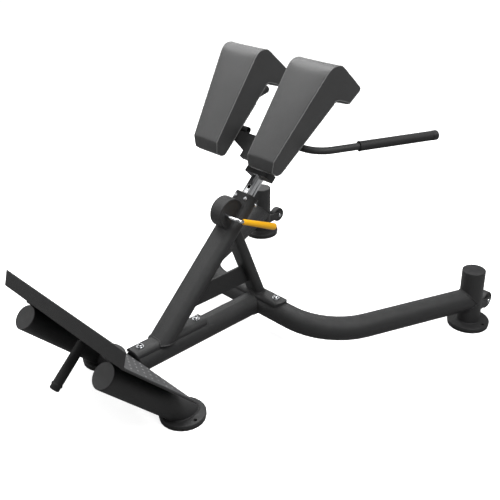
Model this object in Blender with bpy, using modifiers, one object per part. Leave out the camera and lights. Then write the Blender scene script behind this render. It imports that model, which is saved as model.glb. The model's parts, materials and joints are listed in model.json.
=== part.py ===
"""A hyperextension bench: a welded tube base, a leaning post, and a padded carriage that slides on it."""

import math

import bmesh
import bpy
from mathutils import Vector

# Lengths are metres. X runs from the foot platform to the rear feet, and -Y is the side of the lock lever.
# The sizes below count X from a datum between the feet. BENCH_MID_X moves the whole bench over the origin.

# Clearances
GAP = 0.0003
RUNNING = 0.00008
PART_GAP = 0.0008
HAIR = 0.00001

# Fineness of the round shapes
TUBE_SIDES = 24
SMALL_SIDES = 16
DRILL_SIDES = 20
SHARP_EDGE = math.radians(35)

# Base tubes
TUBE_R = 0.038
TUBE_WALL = 0.003
BASE_Z = 0.096
FOOT_STEEL = 0.010
FOOT_RUBBER = 0.008
FOOT_R = 0.069
FOOT_EDGE = 0.0015
FOOT_HOLE_R = 0.0055
FOOT_HOLE_OUT = 0.0555
FOOT_TOP = FOOT_STEEL + FOOT_RUBBER
CAP_T = 0.0035
CAP_EDGE = 0.0015
CAP_PLUG = 0.012

# Rear cross tube and rear posts
CROSS_X = 0.100
CROSS_CORNER_Y = 0.3016
CROSS_BEND_R = 0.207
CROSS_BEND_STEPS = 8
REAR_POST_X = 0.618
REAR_POST_Y = 0.496
REAR_POST_TOP = 0.206
COPE_BACK = 0.002

# Main beam and the front end
BEAM_FRONT_X = -0.4122
LEG_FOOT_X = -0.394
LEG_Y = 0.194
FRONT_CROSS_X = -0.404
FRONT_CROSS_W = 0.070
FRONT_CROSS_Y = 0.175
FRONT_CROSS_WALL = 0.003
FRONT_CROSS_ROUND = 0.006

# Foot platform, placed on the slope as slope_point says
SLOPE = math.radians(45)
PLATFORM_A = -0.2135
PLATFORM_LOW_OUT = 0.3755
PLATFORM_FOLD_OUT = 0.6915
PLATFORM_HALF_W = 0.289
PLATFORM_T = 0.004
LIP_LENGTH = 0.0454
LEG_SHORT_OF_FOLD = 0.0467
LIP_ANGLE = math.radians(59)
TREAD_T = 0.002
TREAD_INSET = 0.004
TREAD_FOLD_GAP = 0.012
STRIP_W = 0.024
STRIP_INSET = 0.030

# Lift handle under the platform
LIFT_OUT = 0.5827
LIFT_R = 0.011
LIFT_WALL = 0.002
LIFT_BASE_R = 0.028
LIFT_BASE_T = 0.005
LIFT_LENGTH = 0.171
LIFT_GRIP_START = 0.023
LIFT_GRIP_R = 0.0148
LIFT_BEAD_R = 0.0168
LIFT_BEAD_AT = 0.155
LIFT_END_T = 0.005

# Leaning main post: its section, and where it stands across the slope
POST_OUT = 0.3083
POST_HALF_Y = 0.0425
POST_HALF_D = 0.024
POST_WALL = 0.003
POST_TOP_A = 0.387
ARC_STEPS = 8

# Saddle blocks that carry the post and the brace: flat on top, hollowed below to sit on a tube
SADDLE_T = 0.006
SADDLE_HALF_W = 0.029
SADDLE_LIFT = 0.0018
SADDLE_SHOULDER = 0.016
POST_FOOT_RISE = 0.034
POST_SADDLE_FRONT = -0.4205
POST_SADDLE_REAR = -0.146
POST_SADDLE_ROUND = 0.006
POST_BOLT_X = (-0.389, -0.171)
BRACE_SADDLE_HALF = 0.123
BRACE_SADDLE_ROUND = 0.024
BRACE_BOLT_Y = 0.087
SADDLE_TOP = TUBE_R + GAP + SADDLE_T
SADDLE_FOOT = math.sqrt(TUBE_R**2 - SADDLE_HALF_W**2) + SADDLE_LIFT

# Saddle bolts
BOLT_R = 0.005
BOLT_HOLE_R = 0.0055
BOLT_WASHER_R = 0.012
BOLT_WASHER_T = 0.0025
BOLT_HEAD_R = 0.0088
BOLT_HEAD_T = 0.0055
BOLT_EDGE = 0.0016
BOLT_SHANK = 0.016
SOCKET_R = 0.0052
SOCKET_DEEP = 0.0040

# Brace and tie plate
BRACE_LEAN = math.radians(22.5)
BRACE_FOOT_X = 0.0925
BRACE_FOOT_Z = 0.145
BRACE_W = 0.060
BRACE_D = 0.036
BRACE_WALL = 0.003
BRACE_ROUND = 0.012
BRACE_BELOW = 0.028
TIE_T = 0.008
TIE_BOTTOM = 0.188
TIE_TOP = 0.254

# Guide sleeve in the top of the post, and its screws
SLEEVE_FOOT_A = 0.290
SLEEVE_LIP = 0.0016
GUIDE_BOLT_A = 0.371
GUIDE_BOLTS = {"front_near": (-1, 6.0), "front_far": (1, 6.0), "side_near": (-1, 115.0)}
GUIDE_BOLT_R = 0.0032
GUIDE_HOLE_R = 0.0036
GUIDE_HEAD_R = 0.0068
GUIDE_HEAD_T = 0.0048
GUIDE_SHANK = 0.0075

# A domed head, as shares of its radius and its height
DOME = ((0.0, 1.0), (0.58, 0.90), (0.89, 0.50))

# Sliding inner post
INNER_HALF_Y = 0.016
INNER_HALF_D = 0.015
INNER_WALL = 0.003
INNER_ROUND = 0.004
LOCK_A = 0.3176
HOLE_PITCH = 0.0318
HOLES_UP = 3
HOLES_DOWN = 3
LOCK_HOLE_R = 0.0065
INNER_ABOVE_HOLES = 0.044
INNER_BELOW_HOLES = 0.0272

# Lock housing, a drum across the front of the post
DRUM_BELOW_LOCK = 0.0126
DRUM_OUT = 0.3513
DRUM_R = 0.0487
DRUM_HALF = 0.023
DRUM_WALL = 0.0037
DRUM_RIM = 0.006
DRUM_RECESS = 0.0015
DRUM_EDGE = 0.0015

# Lock pin, stored clear of the inner post, and the crank that lifts it
PIN_R = 0.006
PIN_HEAD_R = 0.011
PIN_HEAD_T = 0.0035
PIN_HEAD_RISE = 0.0075
PIN_STUB = 0.007
PIN_TIP_TAPER = 0.0015
CRANK_HALF_Y = 0.0115
CRANK_HUB_R = 0.010
CRANK_REACH = 0.033
CRANK_HALF_T = 0.003
CRANK_SLOT_HALF = 0.0068
CRANK_SLOT_FROM = 0.018

# Lock lever: its shaft turns in the drum, ahead of the drum's own middle
SHAFT_BELOW_LOCK = 0.0256
SHAFT_OUT = 0.367
ROD_R = 0.006
ROD_INSIDE_Y = 0.0145
LEVER_Y = -0.080
ROD_BEND_R = 0.012
ROD_BEND_STEPS = 5
LEVER_DROP = math.radians(24.3)
LEVER_GRIP_FROM = 0.014
LEVER_GRIP_TO = 0.170
LEVER_GRIP_FRONT_R = 0.0088
LEVER_GRIP_END_R = 0.0115
LEVER_GRIP_FLAT = 0.86
LEVER_GRIP_NOSE = 0.0050
LEVER_GRIP_LIP = 0.0030
ROD_IN_GRIP = 0.025

# Carriage head and yoke
HEAD_HALF_Y = 0.0485
HEAD_HALF_D = 0.023
HEAD_T = 0.024
HEAD_ROUND = 0.008
NECK_HALF_Y = 0.030
NECK_ABOVE_HEAD = 0.019
YOKE_T = 0.020
YOKE_HALF_Y = 0.140
YOKE_FOOT_RISE = 0.017
YOKE_INNER_RISE = 0.0205
YOKE_OUTER_RISE = 0.0435

# Handles
HANDLE_R = 0.011
HANDLE_WALL = 0.002
HANDLE_ABOVE_YOKE = 0.0270
HANDLE_INNER_Y = 0.063
HANDLE_BEND_R = 0.074
HANDLE_BEND_STEPS = 7
HANDLE_END = Vector((0.514, 0.370, 0.670))
HANDLE_SPLAY = math.radians(21.2)
HANDLE_GRIP_R = 0.015
HANDLE_GRIP_FROM = 0.277
HANDLE_COLLAR_R = 0.0162
HANDLE_COLLAR_T = 0.003
HANDLE_CAP_LENGTH = 0.020
HANDLE_CAP_R = 0.0155
HANDLE_CAP_ROUND = 0.0035
HANDLE_PLUG = 0.015

# Thigh pads: the face leans back, and the back plane is parallel to the post
PAD_FOOT_DROP = 0.0023
PAD_FACE_OUT = 0.4759
FACE_LEAN = math.radians(35.6)
PAD_BACK_OUT = 0.4105
PAD_INNER_Y = 0.0645
PAD_OUTER_Y = 0.174
PAD_SPREAD = 0.168
PAD_CROWN = 0.004
PAD_DRAWN_IN = 0.06
PAD_SEAM_ROUND = 0.005
BOARD_T = 0.010
BOARD_FOOT_RISE = 0.031
BOARD_TOP_RISE = 0.205
BOARD_INSET = 0.018
BOARD_ROUND = 0.012

# Transport wheels
WHEEL_BEHIND_POST = 0.094
WHEEL_Z = 0.055
WHEEL_R = 0.030
WHEEL_HALF_W = 0.0125
WHEEL_HUB_R = 0.011
WHEEL_DISH = 0.003
AXLE_R = 0.004
AXLE_HOLE_R = 0.0044
AXLE_HEAD_R = 0.0078
AXLE_HEAD_T = 0.0045
AXLE_NUT_T = 0.006
CHEEK_T = 0.004
CHEEK_SIDE_GAP = 0.001
CHEEK_HALF_H = 0.017
CHEEK_END_R = 0.014
FORK_WEB_BEHIND_POST = 0.050

# Values that follow from the sizes above
INNER_TOP_A = LOCK_A + HOLES_UP * HOLE_PITCH + INNER_ABOVE_HOLES
INNER_FOOT_A = LOCK_A - HOLES_DOWN * HOLE_PITCH - INNER_BELOW_HOLES
DRUM_A = LOCK_A - DRUM_BELOW_LOCK
SHAFT_A = LOCK_A - SHAFT_BELOW_LOCK
YOKE_FOOT_A = INNER_TOP_A + YOKE_FOOT_RISE
YOKE_INNER_LOW_A = YOKE_FOOT_A + YOKE_INNER_RISE
YOKE_OUTER_LOW_A = YOKE_INNER_LOW_A + YOKE_OUTER_RISE
HANDLE_A = YOKE_OUTER_LOW_A + HANDLE_ABOVE_YOKE
HANDLE_OUT = PAD_BACK_OUT - GAP - BOARD_T - GAP - HANDLE_R
YOKE_OUT = PAD_BACK_OUT - GAP - BOARD_T - GAP - YOKE_T / 2
BOARD_FOOT_A = INNER_TOP_A + BOARD_FOOT_RISE
BOARD_TOP_A = INNER_TOP_A + BOARD_TOP_RISE
WHEEL_X = REAR_POST_X + WHEEL_BEHIND_POST
FORK_WEB_X = REAR_POST_X + FORK_WEB_BEHIND_POST
LEG_LENGTH = PLATFORM_FOLD_OUT - LEG_SHORT_OF_FOLD - (FOOT_TOP - LEG_FOOT_X) * math.sqrt(0.5)
COPE_REACH = TUBE_R * 4
LIFT_END_R = LIFT_GRIP_R - (LIFT_BEAD_R - LIFT_GRIP_R)
LIFT_LOW_X = (PLATFORM_A - LIFT_LENGTH - LIFT_OUT - LIFT_END_R) * math.sqrt(0.5)
BENCH_HIGH_X = WHEEL_X + WHEEL_R
BENCH_MID_X = (LIFT_LOW_X + BENCH_HIGH_X) / 2

# Finishes: colour, roughness, metallic
BLACK_PAINT = ((0.035, 0.037, 0.040), 0.55, 0.0)
GREY_TREAD = ((0.085, 0.087, 0.090), 0.80, 0.0)
BLACK_PLASTIC = ((0.020, 0.020, 0.021), 0.50, 0.0)
BLACK_RUBBER = ((0.018, 0.018, 0.019), 0.75, 0.0)
CHROME = ((0.72, 0.73, 0.75), 0.12, 1.0)
ZINC = ((0.62, 0.63, 0.64), 0.30, 1.0)
DARK_VINYL = ((0.060, 0.061, 0.064), 0.60, 0.0)
STAINED_PLY = ((0.030, 0.028, 0.026), 0.70, 0.0)
YELLOW_GRIP = ((0.85, 0.47, 0.05), 0.40, 0.0)

SIDES = {"near": -1, "far": 1}


def clear_scene():
    for item in list(bpy.data.objects):
        bpy.data.objects.remove(item, do_unlink=True)


def new_collection(name):
    made = bpy.data.collections.new(name)
    bpy.context.scene.collection.children.link(made)
    return made


def new_root(name):
    root = bpy.data.objects.new(name, None)
    root.location = (-BENCH_MID_X, 0.0, 0.0)
    BENCH.objects.link(root)
    return root


def add(name, data):
    item = bpy.data.objects.new(name, data)
    item.parent = ROOT
    BENCH.objects.link(item)
    return item


def dress(item, finish):
    """One material for each piece, named after it."""
    colour, roughness, metallic = finish
    made = bpy.data.materials.new(item.name)
    made.use_nodes = True
    shader = made.node_tree.nodes["Principled BSDF"]
    shader.inputs["Base Color"].default_value = (*colour, 1.0)
    shader.inputs["Roughness"].default_value = roughness
    shader.inputs["Metallic"].default_value = metallic
    item.data.materials.clear()
    item.data.materials.append(made)
    return item


def settle(item):
    """The item as one closed, smooth-shaded mesh, with its modifiers applied."""
    graph = bpy.context.evaluated_depsgraph_get()
    graph.update()
    mesh = bpy.data.meshes.new_from_object(item.evaluated_get(graph))
    work = bmesh.new()
    work.from_mesh(mesh)
    bmesh.ops.remove_doubles(work, verts=work.verts, dist=HAIR)
    bmesh.ops.recalc_face_normals(work, faces=work.faces)
    work.to_mesh(mesh)
    work.free()
    mesh.shade_smooth()
    mesh.set_sharp_from_angle(angle=SHARP_EDGE)
    name = item.name
    bpy.data.objects.remove(item, do_unlink=True)
    return add(name, mesh)


def fillet(corners, radii, steps, closed=False):
    """The corners joined by arcs, of one radius or of one for each corner."""
    points = []
    count = len(corners)
    for index, here in enumerate(corners):
        radius = radii[index] if isinstance(radii, tuple) else radii
        if not closed and index in (0, count - 1):
            points.append(here)
            continue
        before = (corners[index - 1] - here).normalized()
        after = (corners[(index + 1) % count] - here).normalized()
        half = before.angle(after) / 2
        reach = radius / math.tan(half)
        centre = here + (before + after).normalized() * radius / math.sin(half)
        start = here + before * reach - centre
        end = here + after * reach - centre
        turn = start.angle(end)
        for step in range(steps + 1):
            part = step / steps
            weight = math.sin((1 - part) * turn) * start + math.sin(part * turn) * end
            points.append(centre + weight / math.sin(turn))
    return points


def rectangle(half_x, half_y, radius=0.0, steps=3, mid=(0.0, 0.0)):
    corners = [
        Vector((mid[0] + sx * half_x, mid[1] + sy * half_y, 0.0))
        for sx, sy in ((-1, -1), (1, -1), (1, 1), (-1, 1))
    ]
    return fillet(corners, radius, steps, closed=True) if radius else corners


def slab(name, outlines, low, high):
    """A flat outline in local XY, with any inner outlines as holes, extruded along local Z."""
    curve = bpy.data.curves.new(name, "CURVE")
    curve.dimensions = "2D"
    curve.fill_mode = "BOTH"
    curve.extrude = (high - low) / 2
    for outline in outlines:
        spline = curve.splines.new("POLY")
        spline.points.add(len(outline) - 1)
        for point, place in zip(spline.points, outline):
            point.co = (place.x, place.y, 0.0, 1.0)
        spline.use_cyclic_u = True
    made = settle(add(name, curve))
    for vertex in made.data.vertices:
        vertex.co.z += (low + high) / 2
    return made


def turned(name, profile, sides=TUBE_SIDES, ring=False):
    """A profile of (radius, height) points, from top to bottom, turned about local Z. A ring is closed."""
    count = len(profile)
    edges = [(index, index + 1) for index in range(count - 1)]
    if ring:
        edges.append((count - 1, 0))
    mesh = bpy.data.meshes.new(name)
    mesh.from_pydata([(radius, 0.0, height) for radius, height in profile], edges, [])
    made = add(name, mesh)
    screw = made.modifiers.new("Turn", "SCREW")
    screw.axis = "Z"
    screw.angle = math.tau
    screw.steps = sides
    screw.render_steps = sides
    screw.use_merge_vertices = True
    screw.merge_threshold = HAIR
    return settle(made)


def pipe(name, radius, wall, low, high, sides=TUBE_SIDES):
    """A straight round tube along local Z, open at both ends."""
    inner = radius - wall
    profile = [(radius, high), (radius, low), (inner, low), (inner, high)]
    return turned(name, profile, sides, ring=True)


def swept(name, path, radius, sides, wall=None):
    """A round rod along a path, or an open-ended tube when it has a wall."""
    curve = bpy.data.curves.new(name, "CURVE")
    curve.dimensions = "3D"
    curve.bevel_depth = radius
    curve.bevel_resolution = (sides - 4) // 2
    curve.use_fill_caps = wall is None
    spline = curve.splines.new("POLY")
    spline.points.add(len(path) - 1)
    for point, place in zip(spline.points, path):
        point.co = (*place, 1.0)
    made = settle(add(name, curve))
    if wall is None:
        return made
    shell = made.modifiers.new("Wall", "SOLIDIFY")
    shell.thickness = wall
    shell.offset = -1.0
    shell.use_even_offset = True
    return settle(made)


def place(item, location, turn=(0.0, 0.0, 0.0)):
    item.location = location
    item.rotation_euler = turn
    return item


def point_along(item, location, direction):
    """Moves the item so that its local Z runs along a direction."""
    turn = direction.to_track_quat("Z", "Y").to_euler()
    return place(item, location, turn)


def combine(item, other, operation):
    """A live Boolean between an item and a hidden shape."""
    if other.name not in HIDDEN.objects:
        BENCH.objects.unlink(other)
        HIDDEN.objects.link(other)
        other.hide_render = True
        other.display_type = "WIRE"
    joint = item.modifiers.new(operation.title(), "BOOLEAN")
    joint.operation = operation
    joint.object = other
    joint.solver = "EXACT"
    return item


def drill(item, holes):
    """Cuts round holes, each given as a middle point, a direction, a radius and a length."""
    work = bmesh.new()
    for middle, direction, radius, length in holes:
        matrix = direction.to_track_quat("Z", "Y").to_matrix().to_4x4()
        matrix.translation = middle
        bmesh.ops.create_cone(
            work,
            cap_ends=True,
            segments=DRILL_SIDES,
            radius1=radius,
            radius2=radius,
            depth=length,
            matrix=matrix,
        )
    mesh = bpy.data.meshes.new(item.name + "_drill")
    work.to_mesh(mesh)
    work.free()
    return combine(item, add(mesh.name, mesh), "DIFFERENCE")


def slope_point(a, y, n):
    """A point from its place along the post (a), across the bench (y) and out in front of the post (n)."""
    return Vector(((a - n) * math.sqrt(0.5), y, (a + n) * math.sqrt(0.5)))


ALONG_POST = (0.0, SLOPE, 0.0)
OUT_OF_POST = (0.0, -SLOPE, 0.0)
ALONG_X = (0.0, math.radians(90), 0.0)
ACROSS = (math.radians(90), 0.0, 0.0)
ACROSS_UPRIGHT = (0.0, math.radians(90), math.radians(90))
POST_OUTWARD = Vector((-math.sqrt(0.5), 0.0, math.sqrt(0.5)))
LATERAL = Vector((0.0, 1.0, 0.0))
UP = Vector((0.0, 0.0, 1.0))


def tube_cap(name, wall):
    """A cap with a plug that fills the end of a base tube. Its seat is at local z = 0."""
    plug = TUBE_R - wall - GAP
    profile = [
        (0.0, CAP_T),
        (TUBE_R - CAP_EDGE, CAP_T),
        (TUBE_R, CAP_T - CAP_EDGE),
        (TUBE_R, GAP),
        (plug, GAP),
        (plug, -CAP_PLUG),
        (0.0, -CAP_PLUG),
    ]
    return dress(turned(name, profile), BLACK_PLASTIC)


def tube_shape(name, centre, turn, radius, length):
    """A solid round bar, used to cope the end of a tube or to shape a saddle."""
    profile = [(0.0, length / 2), (radius, length / 2), (radius, -length / 2), (0.0, -length / 2)]
    return place(turned(name, profile), centre, turn)


def rear_cross_tube():
    """The bent tube behind the post: straight across the bench, then swept back to both rear posts."""
    post = Vector((REAR_POST_X, REAR_POST_Y, BASE_Z))
    corner = Vector((CROSS_X, CROSS_CORNER_Y, BASE_Z))
    end = post + (corner - post).normalized() * COPE_BACK
    flip = Vector((1.0, -1.0, 1.0))
    corners = [end * flip, corner * flip, corner, end]
    path = fillet(corners, CROSS_BEND_R, CROSS_BEND_STEPS)
    made = swept("rear_cross_tube", path, TUBE_R, TUBE_SIDES, TUBE_WALL)
    for side, sign in SIDES.items():
        centre = (REAR_POST_X, sign * REAR_POST_Y, BASE_Z)
        cope = tube_shape(f"cope_{side}", centre, (0.0, 0.0, 0.0), TUBE_R + GAP, COPE_REACH)
        combine(made, cope, "DIFFERENCE")
    bolts = [
        (Vector((CROSS_X, sign * BRACE_BOLT_Y, BASE_Z + TUBE_R)), UP, BOLT_HOLE_R, TUBE_R)
        for sign in SIDES.values()
    ]
    return dress(drill(made, bolts), BLACK_PAINT)


def rear_post(side, sign):
    where = (REAR_POST_X, sign * REAR_POST_Y, 0.0)
    top = REAR_POST_TOP - CAP_T
    post = pipe(f"rear_post_{side}", TUBE_R, TUBE_WALL, FOOT_TOP + GAP, top)
    place(dress(post, BLACK_PAINT), where)
    place(tube_cap(f"rear_post_cap_{side}", TUBE_WALL), (where[0], where[1], top))


def foot(end, side, x, y, sign):
    """A round steel foot plate on a rubber pad, with one bolt-down hole through both."""
    hole = (Vector((x, y + sign * FOOT_HOLE_OUT, 0.0)), UP, FOOT_HOLE_R, FOOT_TOP * 3)
    edge = FOOT_R - FOOT_EDGE
    plate_profile = [
        (0.0, FOOT_TOP),
        (edge, FOOT_TOP),
        (FOOT_R, FOOT_TOP - FOOT_EDGE),
        (FOOT_R, FOOT_RUBBER),
        (0.0, FOOT_RUBBER),
    ]
    plate = turned(f"foot_flange_{end}_{side}", plate_profile)
    rubber = turned(
        f"foot_pad_{end}_{side}",
        [(0.0, FOOT_RUBBER - GAP), (edge, FOOT_RUBBER - GAP), (edge, 0.0), (0.0, 0.0)],
    )
    for item, finish in ((plate, BLACK_PAINT), (rubber, BLACK_RUBBER)):
        place(item, (x, y, 0.0))
        dress(drill(item, [hole]), finish)


def main_beam():
    length_low = BEAM_FRONT_X
    length_high = CROSS_X - COPE_BACK
    made = place(pipe("main_beam", TUBE_R, TUBE_WALL, length_low, length_high), (0.0, 0.0, BASE_Z), ALONG_X)
    cope = tube_shape("cope_beam", (CROSS_X, 0.0, BASE_Z), ACROSS, TUBE_R + GAP, COPE_REACH)
    combine(made, cope, "DIFFERENCE")
    plan = rectangle(SADDLE_HALF_W + GAP, COPE_REACH)
    room = slab("room_for_saddle", [plan], SADDLE_FOOT - GAP, TUBE_R * 2)
    combine(made, place(room, (CROSS_X, 0.0, BASE_Z)), "DIFFERENCE")
    bolts = [(Vector((x, 0.0, BASE_Z + TUBE_R)), UP, BOLT_HOLE_R, TUBE_R) for x in POST_BOLT_X]
    dress(drill(made, bolts), BLACK_PAINT)
    turn = (0.0, math.radians(-90), 0.0)
    place(tube_cap("beam_end_cap", TUBE_WALL), (BEAM_FRONT_X, 0.0, BASE_Z), turn)


def front_leg(side, sign):
    """A leg that leans forward under the platform, cut level at its foot plate."""
    where = Vector((LEG_FOOT_X, sign * LEG_Y, FOOT_TOP))
    top = LEG_LENGTH - CAP_T
    leg = pipe(f"front_leg_{side}", TUBE_R, TUBE_WALL, -TUBE_R * 1.5, top)
    place(leg, where, OUT_OF_POST)
    floor = slab(f"leg_floor_{side}", [rectangle(COPE_REACH, COPE_REACH)], -COPE_REACH, FOOT_TOP + GAP)
    place(floor, (where.x, where.y, 0.0))
    dress(combine(leg, floor, "DIFFERENCE"), BLACK_PAINT)
    place(tube_cap(f"front_leg_cap_{side}", TUBE_WALL), where + POST_OUTWARD * top, OUT_OF_POST)


def front_cross_tube():
    """A flat box tube between the legs, which the front end of the beam rests on."""
    low = FOOT_TOP + GAP
    high = BASE_Z - TUBE_R - GAP
    middle = (FRONT_CROSS_X, (low + high) / 2)
    half = (high - low) / 2
    outer = rectangle(FRONT_CROSS_W / 2, half, FRONT_CROSS_ROUND, mid=middle)
    inner = rectangle(
        FRONT_CROSS_W / 2 - FRONT_CROSS_WALL,
        half - FRONT_CROSS_WALL,
        FRONT_CROSS_ROUND - FRONT_CROSS_WALL,
        mid=middle,
    )
    made = slab("front_cross_tube", [outer, inner], -FRONT_CROSS_Y, FRONT_CROSS_Y)
    place(made, (0.0, 0.0, 0.0), ACROSS)
    for side, sign in SIDES.items():
        centre = Vector((LEG_FOOT_X, sign * LEG_Y, FOOT_TOP))
        cope = tube_shape(f"cope_leg_{side}", centre, OUT_OF_POST, TUBE_R + GAP, TUBE_R * 8)
        combine(made, cope, "DIFFERENCE")
    dress(made, BLACK_PAINT)


def foot_platform():
    """A folded steel plate with a toe lip, on a bearer strip along each leg."""
    top = PLATFORM_A - TREAD_T - GAP
    lip = Vector((math.cos(LIP_ANGLE), math.sin(LIP_ANGLE)))
    half = math.tan(LIP_ANGLE / 2)
    corners = [
        (PLATFORM_LOW_OUT, top),
        (PLATFORM_FOLD_OUT, top),
        (PLATFORM_FOLD_OUT + lip.x * LIP_LENGTH, top + lip.y * LIP_LENGTH),
        (
            PLATFORM_FOLD_OUT + lip.x * LIP_LENGTH + lip.y * PLATFORM_T,
            top + lip.y * LIP_LENGTH - lip.x * PLATFORM_T,
        ),
        (PLATFORM_FOLD_OUT + half * PLATFORM_T, top - PLATFORM_T),
        (PLATFORM_LOW_OUT, top - PLATFORM_T),
    ]
    outline = []
    for n, a in corners:
        spot = slope_point(a, 0.0, n)
        outline.append(Vector((spot.x, spot.z, 0.0)))
    made = slab("foot_platform", [outline], -PLATFORM_HALF_W, PLATFORM_HALF_W)
    place(made, (0.0, 0.0, 0.0), ACROSS)
    leg_a = (LEG_FOOT_X + FOOT_TOP) * math.sqrt(0.5)
    low = leg_a + TUBE_R + GAP
    middle_n = (PLATFORM_LOW_OUT + PLATFORM_FOLD_OUT) / 2
    half_n = (PLATFORM_FOLD_OUT - PLATFORM_LOW_OUT) / 2 - STRIP_INSET
    for side, sign in SIDES.items():
        strip = slab(f"bearer_{side}", [rectangle(half_n, STRIP_W / 2)], low, top - PLATFORM_T / 2)
        place(strip, slope_point(0.0, sign * LEG_Y, middle_n), ALONG_POST)
        combine(made, strip, "UNION")
    dress(made, BLACK_PAINT)


def platform_tread():
    half_n = (PLATFORM_FOLD_OUT - PLATFORM_LOW_OUT - TREAD_FOLD_GAP - TREAD_INSET) / 2
    middle_n = PLATFORM_LOW_OUT + TREAD_INSET + half_n
    outline = rectangle(half_n, PLATFORM_HALF_W - TREAD_INSET, TREAD_INSET)
    made = slab("platform_tread", [outline], PLATFORM_A - TREAD_T, PLATFORM_A)
    dress(place(made, slope_point(0.0, 0.0, middle_n), ALONG_POST), GREY_TREAD)


def lift_handle():
    """A short tube square to the platform, with a rubber grip, for lifting the front of the bench."""
    under = TREAD_T + GAP + PLATFORM_T + GAP
    where = slope_point(PLATFORM_A, 0.0, LIFT_OUT)
    turn = (0.0, SLOPE + math.pi, 0.0)
    inner = LIFT_R - LIFT_WALL
    tube_end = LIFT_LENGTH - LIFT_END_T - GAP
    tube = [
        (LIFT_R, tube_end),
        (LIFT_R, under + LIFT_BASE_T),
        (LIFT_BASE_R, under + LIFT_BASE_T),
        (LIFT_BASE_R, under),
        (inner, under),
        (inner, tube_end),
    ]
    dress(place(turned("lift_handle_tube", tube, SMALL_SIDES, ring=True), where, turn), BLACK_PAINT)
    bore = LIFT_R + GAP
    bead = LIFT_BEAD_R - LIFT_GRIP_R
    grip = [
        (0.0, LIFT_LENGTH),
        (LIFT_GRIP_R - bead, LIFT_LENGTH),
        (LIFT_GRIP_R, LIFT_LENGTH - bead),
        (LIFT_GRIP_R, LIFT_BEAD_AT + bead * 2),
        (LIFT_BEAD_R, LIFT_BEAD_AT + bead),
        (LIFT_BEAD_R, LIFT_BEAD_AT - bead),
        (LIFT_GRIP_R, LIFT_BEAD_AT - bead * 2),
        (LIFT_GRIP_R, LIFT_GRIP_START),
        (bore, LIFT_GRIP_START),
        (bore, LIFT_LENGTH - LIFT_END_T),
        (0.0, LIFT_LENGTH - LIFT_END_T),
    ]
    dress(place(turned("lift_handle_grip", grip, SMALL_SIDES), where, turn), BLACK_RUBBER)


def stadium(shrink=0.0):
    """The post's section, two half circles joined by flats. Local Y is across the bench."""
    radius = POST_HALF_D - shrink
    return rectangle(radius, POST_HALF_Y - shrink, radius - HAIR, ARC_STEPS)


def post_shape(name):
    """The post's outside as a solid, a gap larger all round, for coping what meets it."""
    made = slab(name, [stadium(-GAP)], -POST_HALF_Y * 4, POST_TOP_A)
    return place(made, slope_point(0.0, 0.0, POST_OUT), ALONG_POST)


def guide_bolt_seat(key):
    """Where a guide screw meets the post's outside, and the direction it points out."""
    sign, degrees = GUIDE_BOLTS[key]
    turn = math.radians(degrees)
    out = POST_OUTWARD * math.cos(turn) + LATERAL * sign * math.sin(turn)
    middle = slope_point(GUIDE_BOLT_A, sign * (POST_HALF_Y - POST_HALF_D), POST_OUT)
    return middle + out * POST_HALF_D, out


def guide_holes():
    holes = []
    for key in GUIDE_BOLTS:
        seat, out = guide_bolt_seat(key)
        holes.append((seat, out, GUIDE_HOLE_R, (GUIDE_SHANK + GAP) * 2))
    return holes


def main_post():
    """The leaning flat-oval post: cut level on its saddle, with holes for the lock pin and three screws."""
    beam_a = (2 * BASE_Z - POST_OUT * math.sqrt(2.0)) * math.sqrt(0.5)
    made = slab("main_post", [stadium(), stadium(POST_WALL)], beam_a, POST_TOP_A)
    place(made, slope_point(0.0, 0.0, POST_OUT), ALONG_POST)
    run = (CROSS_X - BEAM_FRONT_X) * 3
    sides = slab("post_sides", [rectangle(run, COPE_REACH)], -TUBE_R, POST_FOOT_RISE)
    combine(made, place(sides, (0.0, 0.0, BASE_Z)), "DIFFERENCE")
    section = rectangle(SADDLE_TOP + GAP, SADDLE_HALF_W + GAP * 2, SADDLE_SHOULDER, ARC_STEPS)
    seat = slab("post_seat", [section], -run, run)
    combine(made, place(seat, (0.0, 0.0, BASE_Z), ALONG_X), "DIFFERENCE")
    front = POST_OUT + POST_HALF_D
    pin_hole = (slope_point(LOCK_A, 0.0, front), POST_OUTWARD, PIN_R + RUNNING, POST_WALL * 4)
    dress(drill(made, [pin_hole] + guide_holes()), BLACK_PAINT)


def saddle(name, outline, turn, section_turn, centre):
    """A pressed block with a flat top and round shoulders, hollowed below to sit on a base tube."""
    made = place(slab(name, [outline], SADDLE_FOOT, SADDLE_TOP), centre)
    section = rectangle(SADDLE_TOP, SADDLE_HALF_W + GAP, SADDLE_SHOULDER, ARC_STEPS)
    shoulders = slab(name + "_shoulders", [section], -COPE_REACH * 2, COPE_REACH * 2)
    combine(made, place(shoulders, centre, section_turn), "INTERSECT")
    tube = tube_shape(name + "_tube", centre, turn, TUBE_R + GAP, COPE_REACH * 3)
    return combine(made, tube, "DIFFERENCE")


def post_saddle():
    half = (POST_SADDLE_REAR - POST_SADDLE_FRONT) / 2
    middle = (POST_SADDLE_REAR + POST_SADDLE_FRONT) / 2
    outline = rectangle(half, SADDLE_HALF_W, POST_SADDLE_ROUND)
    made = saddle("post_saddle", outline, ALONG_X, ALONG_X, (middle, 0.0, BASE_Z))
    bolts = [(Vector((x, 0.0, BASE_Z + TUBE_R)), UP, BOLT_HOLE_R, TUBE_R) for x in POST_BOLT_X]
    dress(drill(made, bolts), BLACK_PAINT)


def brace_saddle():
    outline = rectangle(SADDLE_HALF_W, BRACE_SADDLE_HALF, BRACE_SADDLE_ROUND, ARC_STEPS)
    made = saddle("brace_saddle", outline, ACROSS, ACROSS_UPRIGHT, (CROSS_X, 0.0, BASE_Z))
    bolts = [
        (Vector((CROSS_X, sign * BRACE_BOLT_Y, BASE_Z + TUBE_R)), UP, BOLT_HOLE_R, TUBE_R)
        for sign in SIDES.values()
    ]
    dress(drill(made, bolts), BLACK_PAINT)


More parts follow.
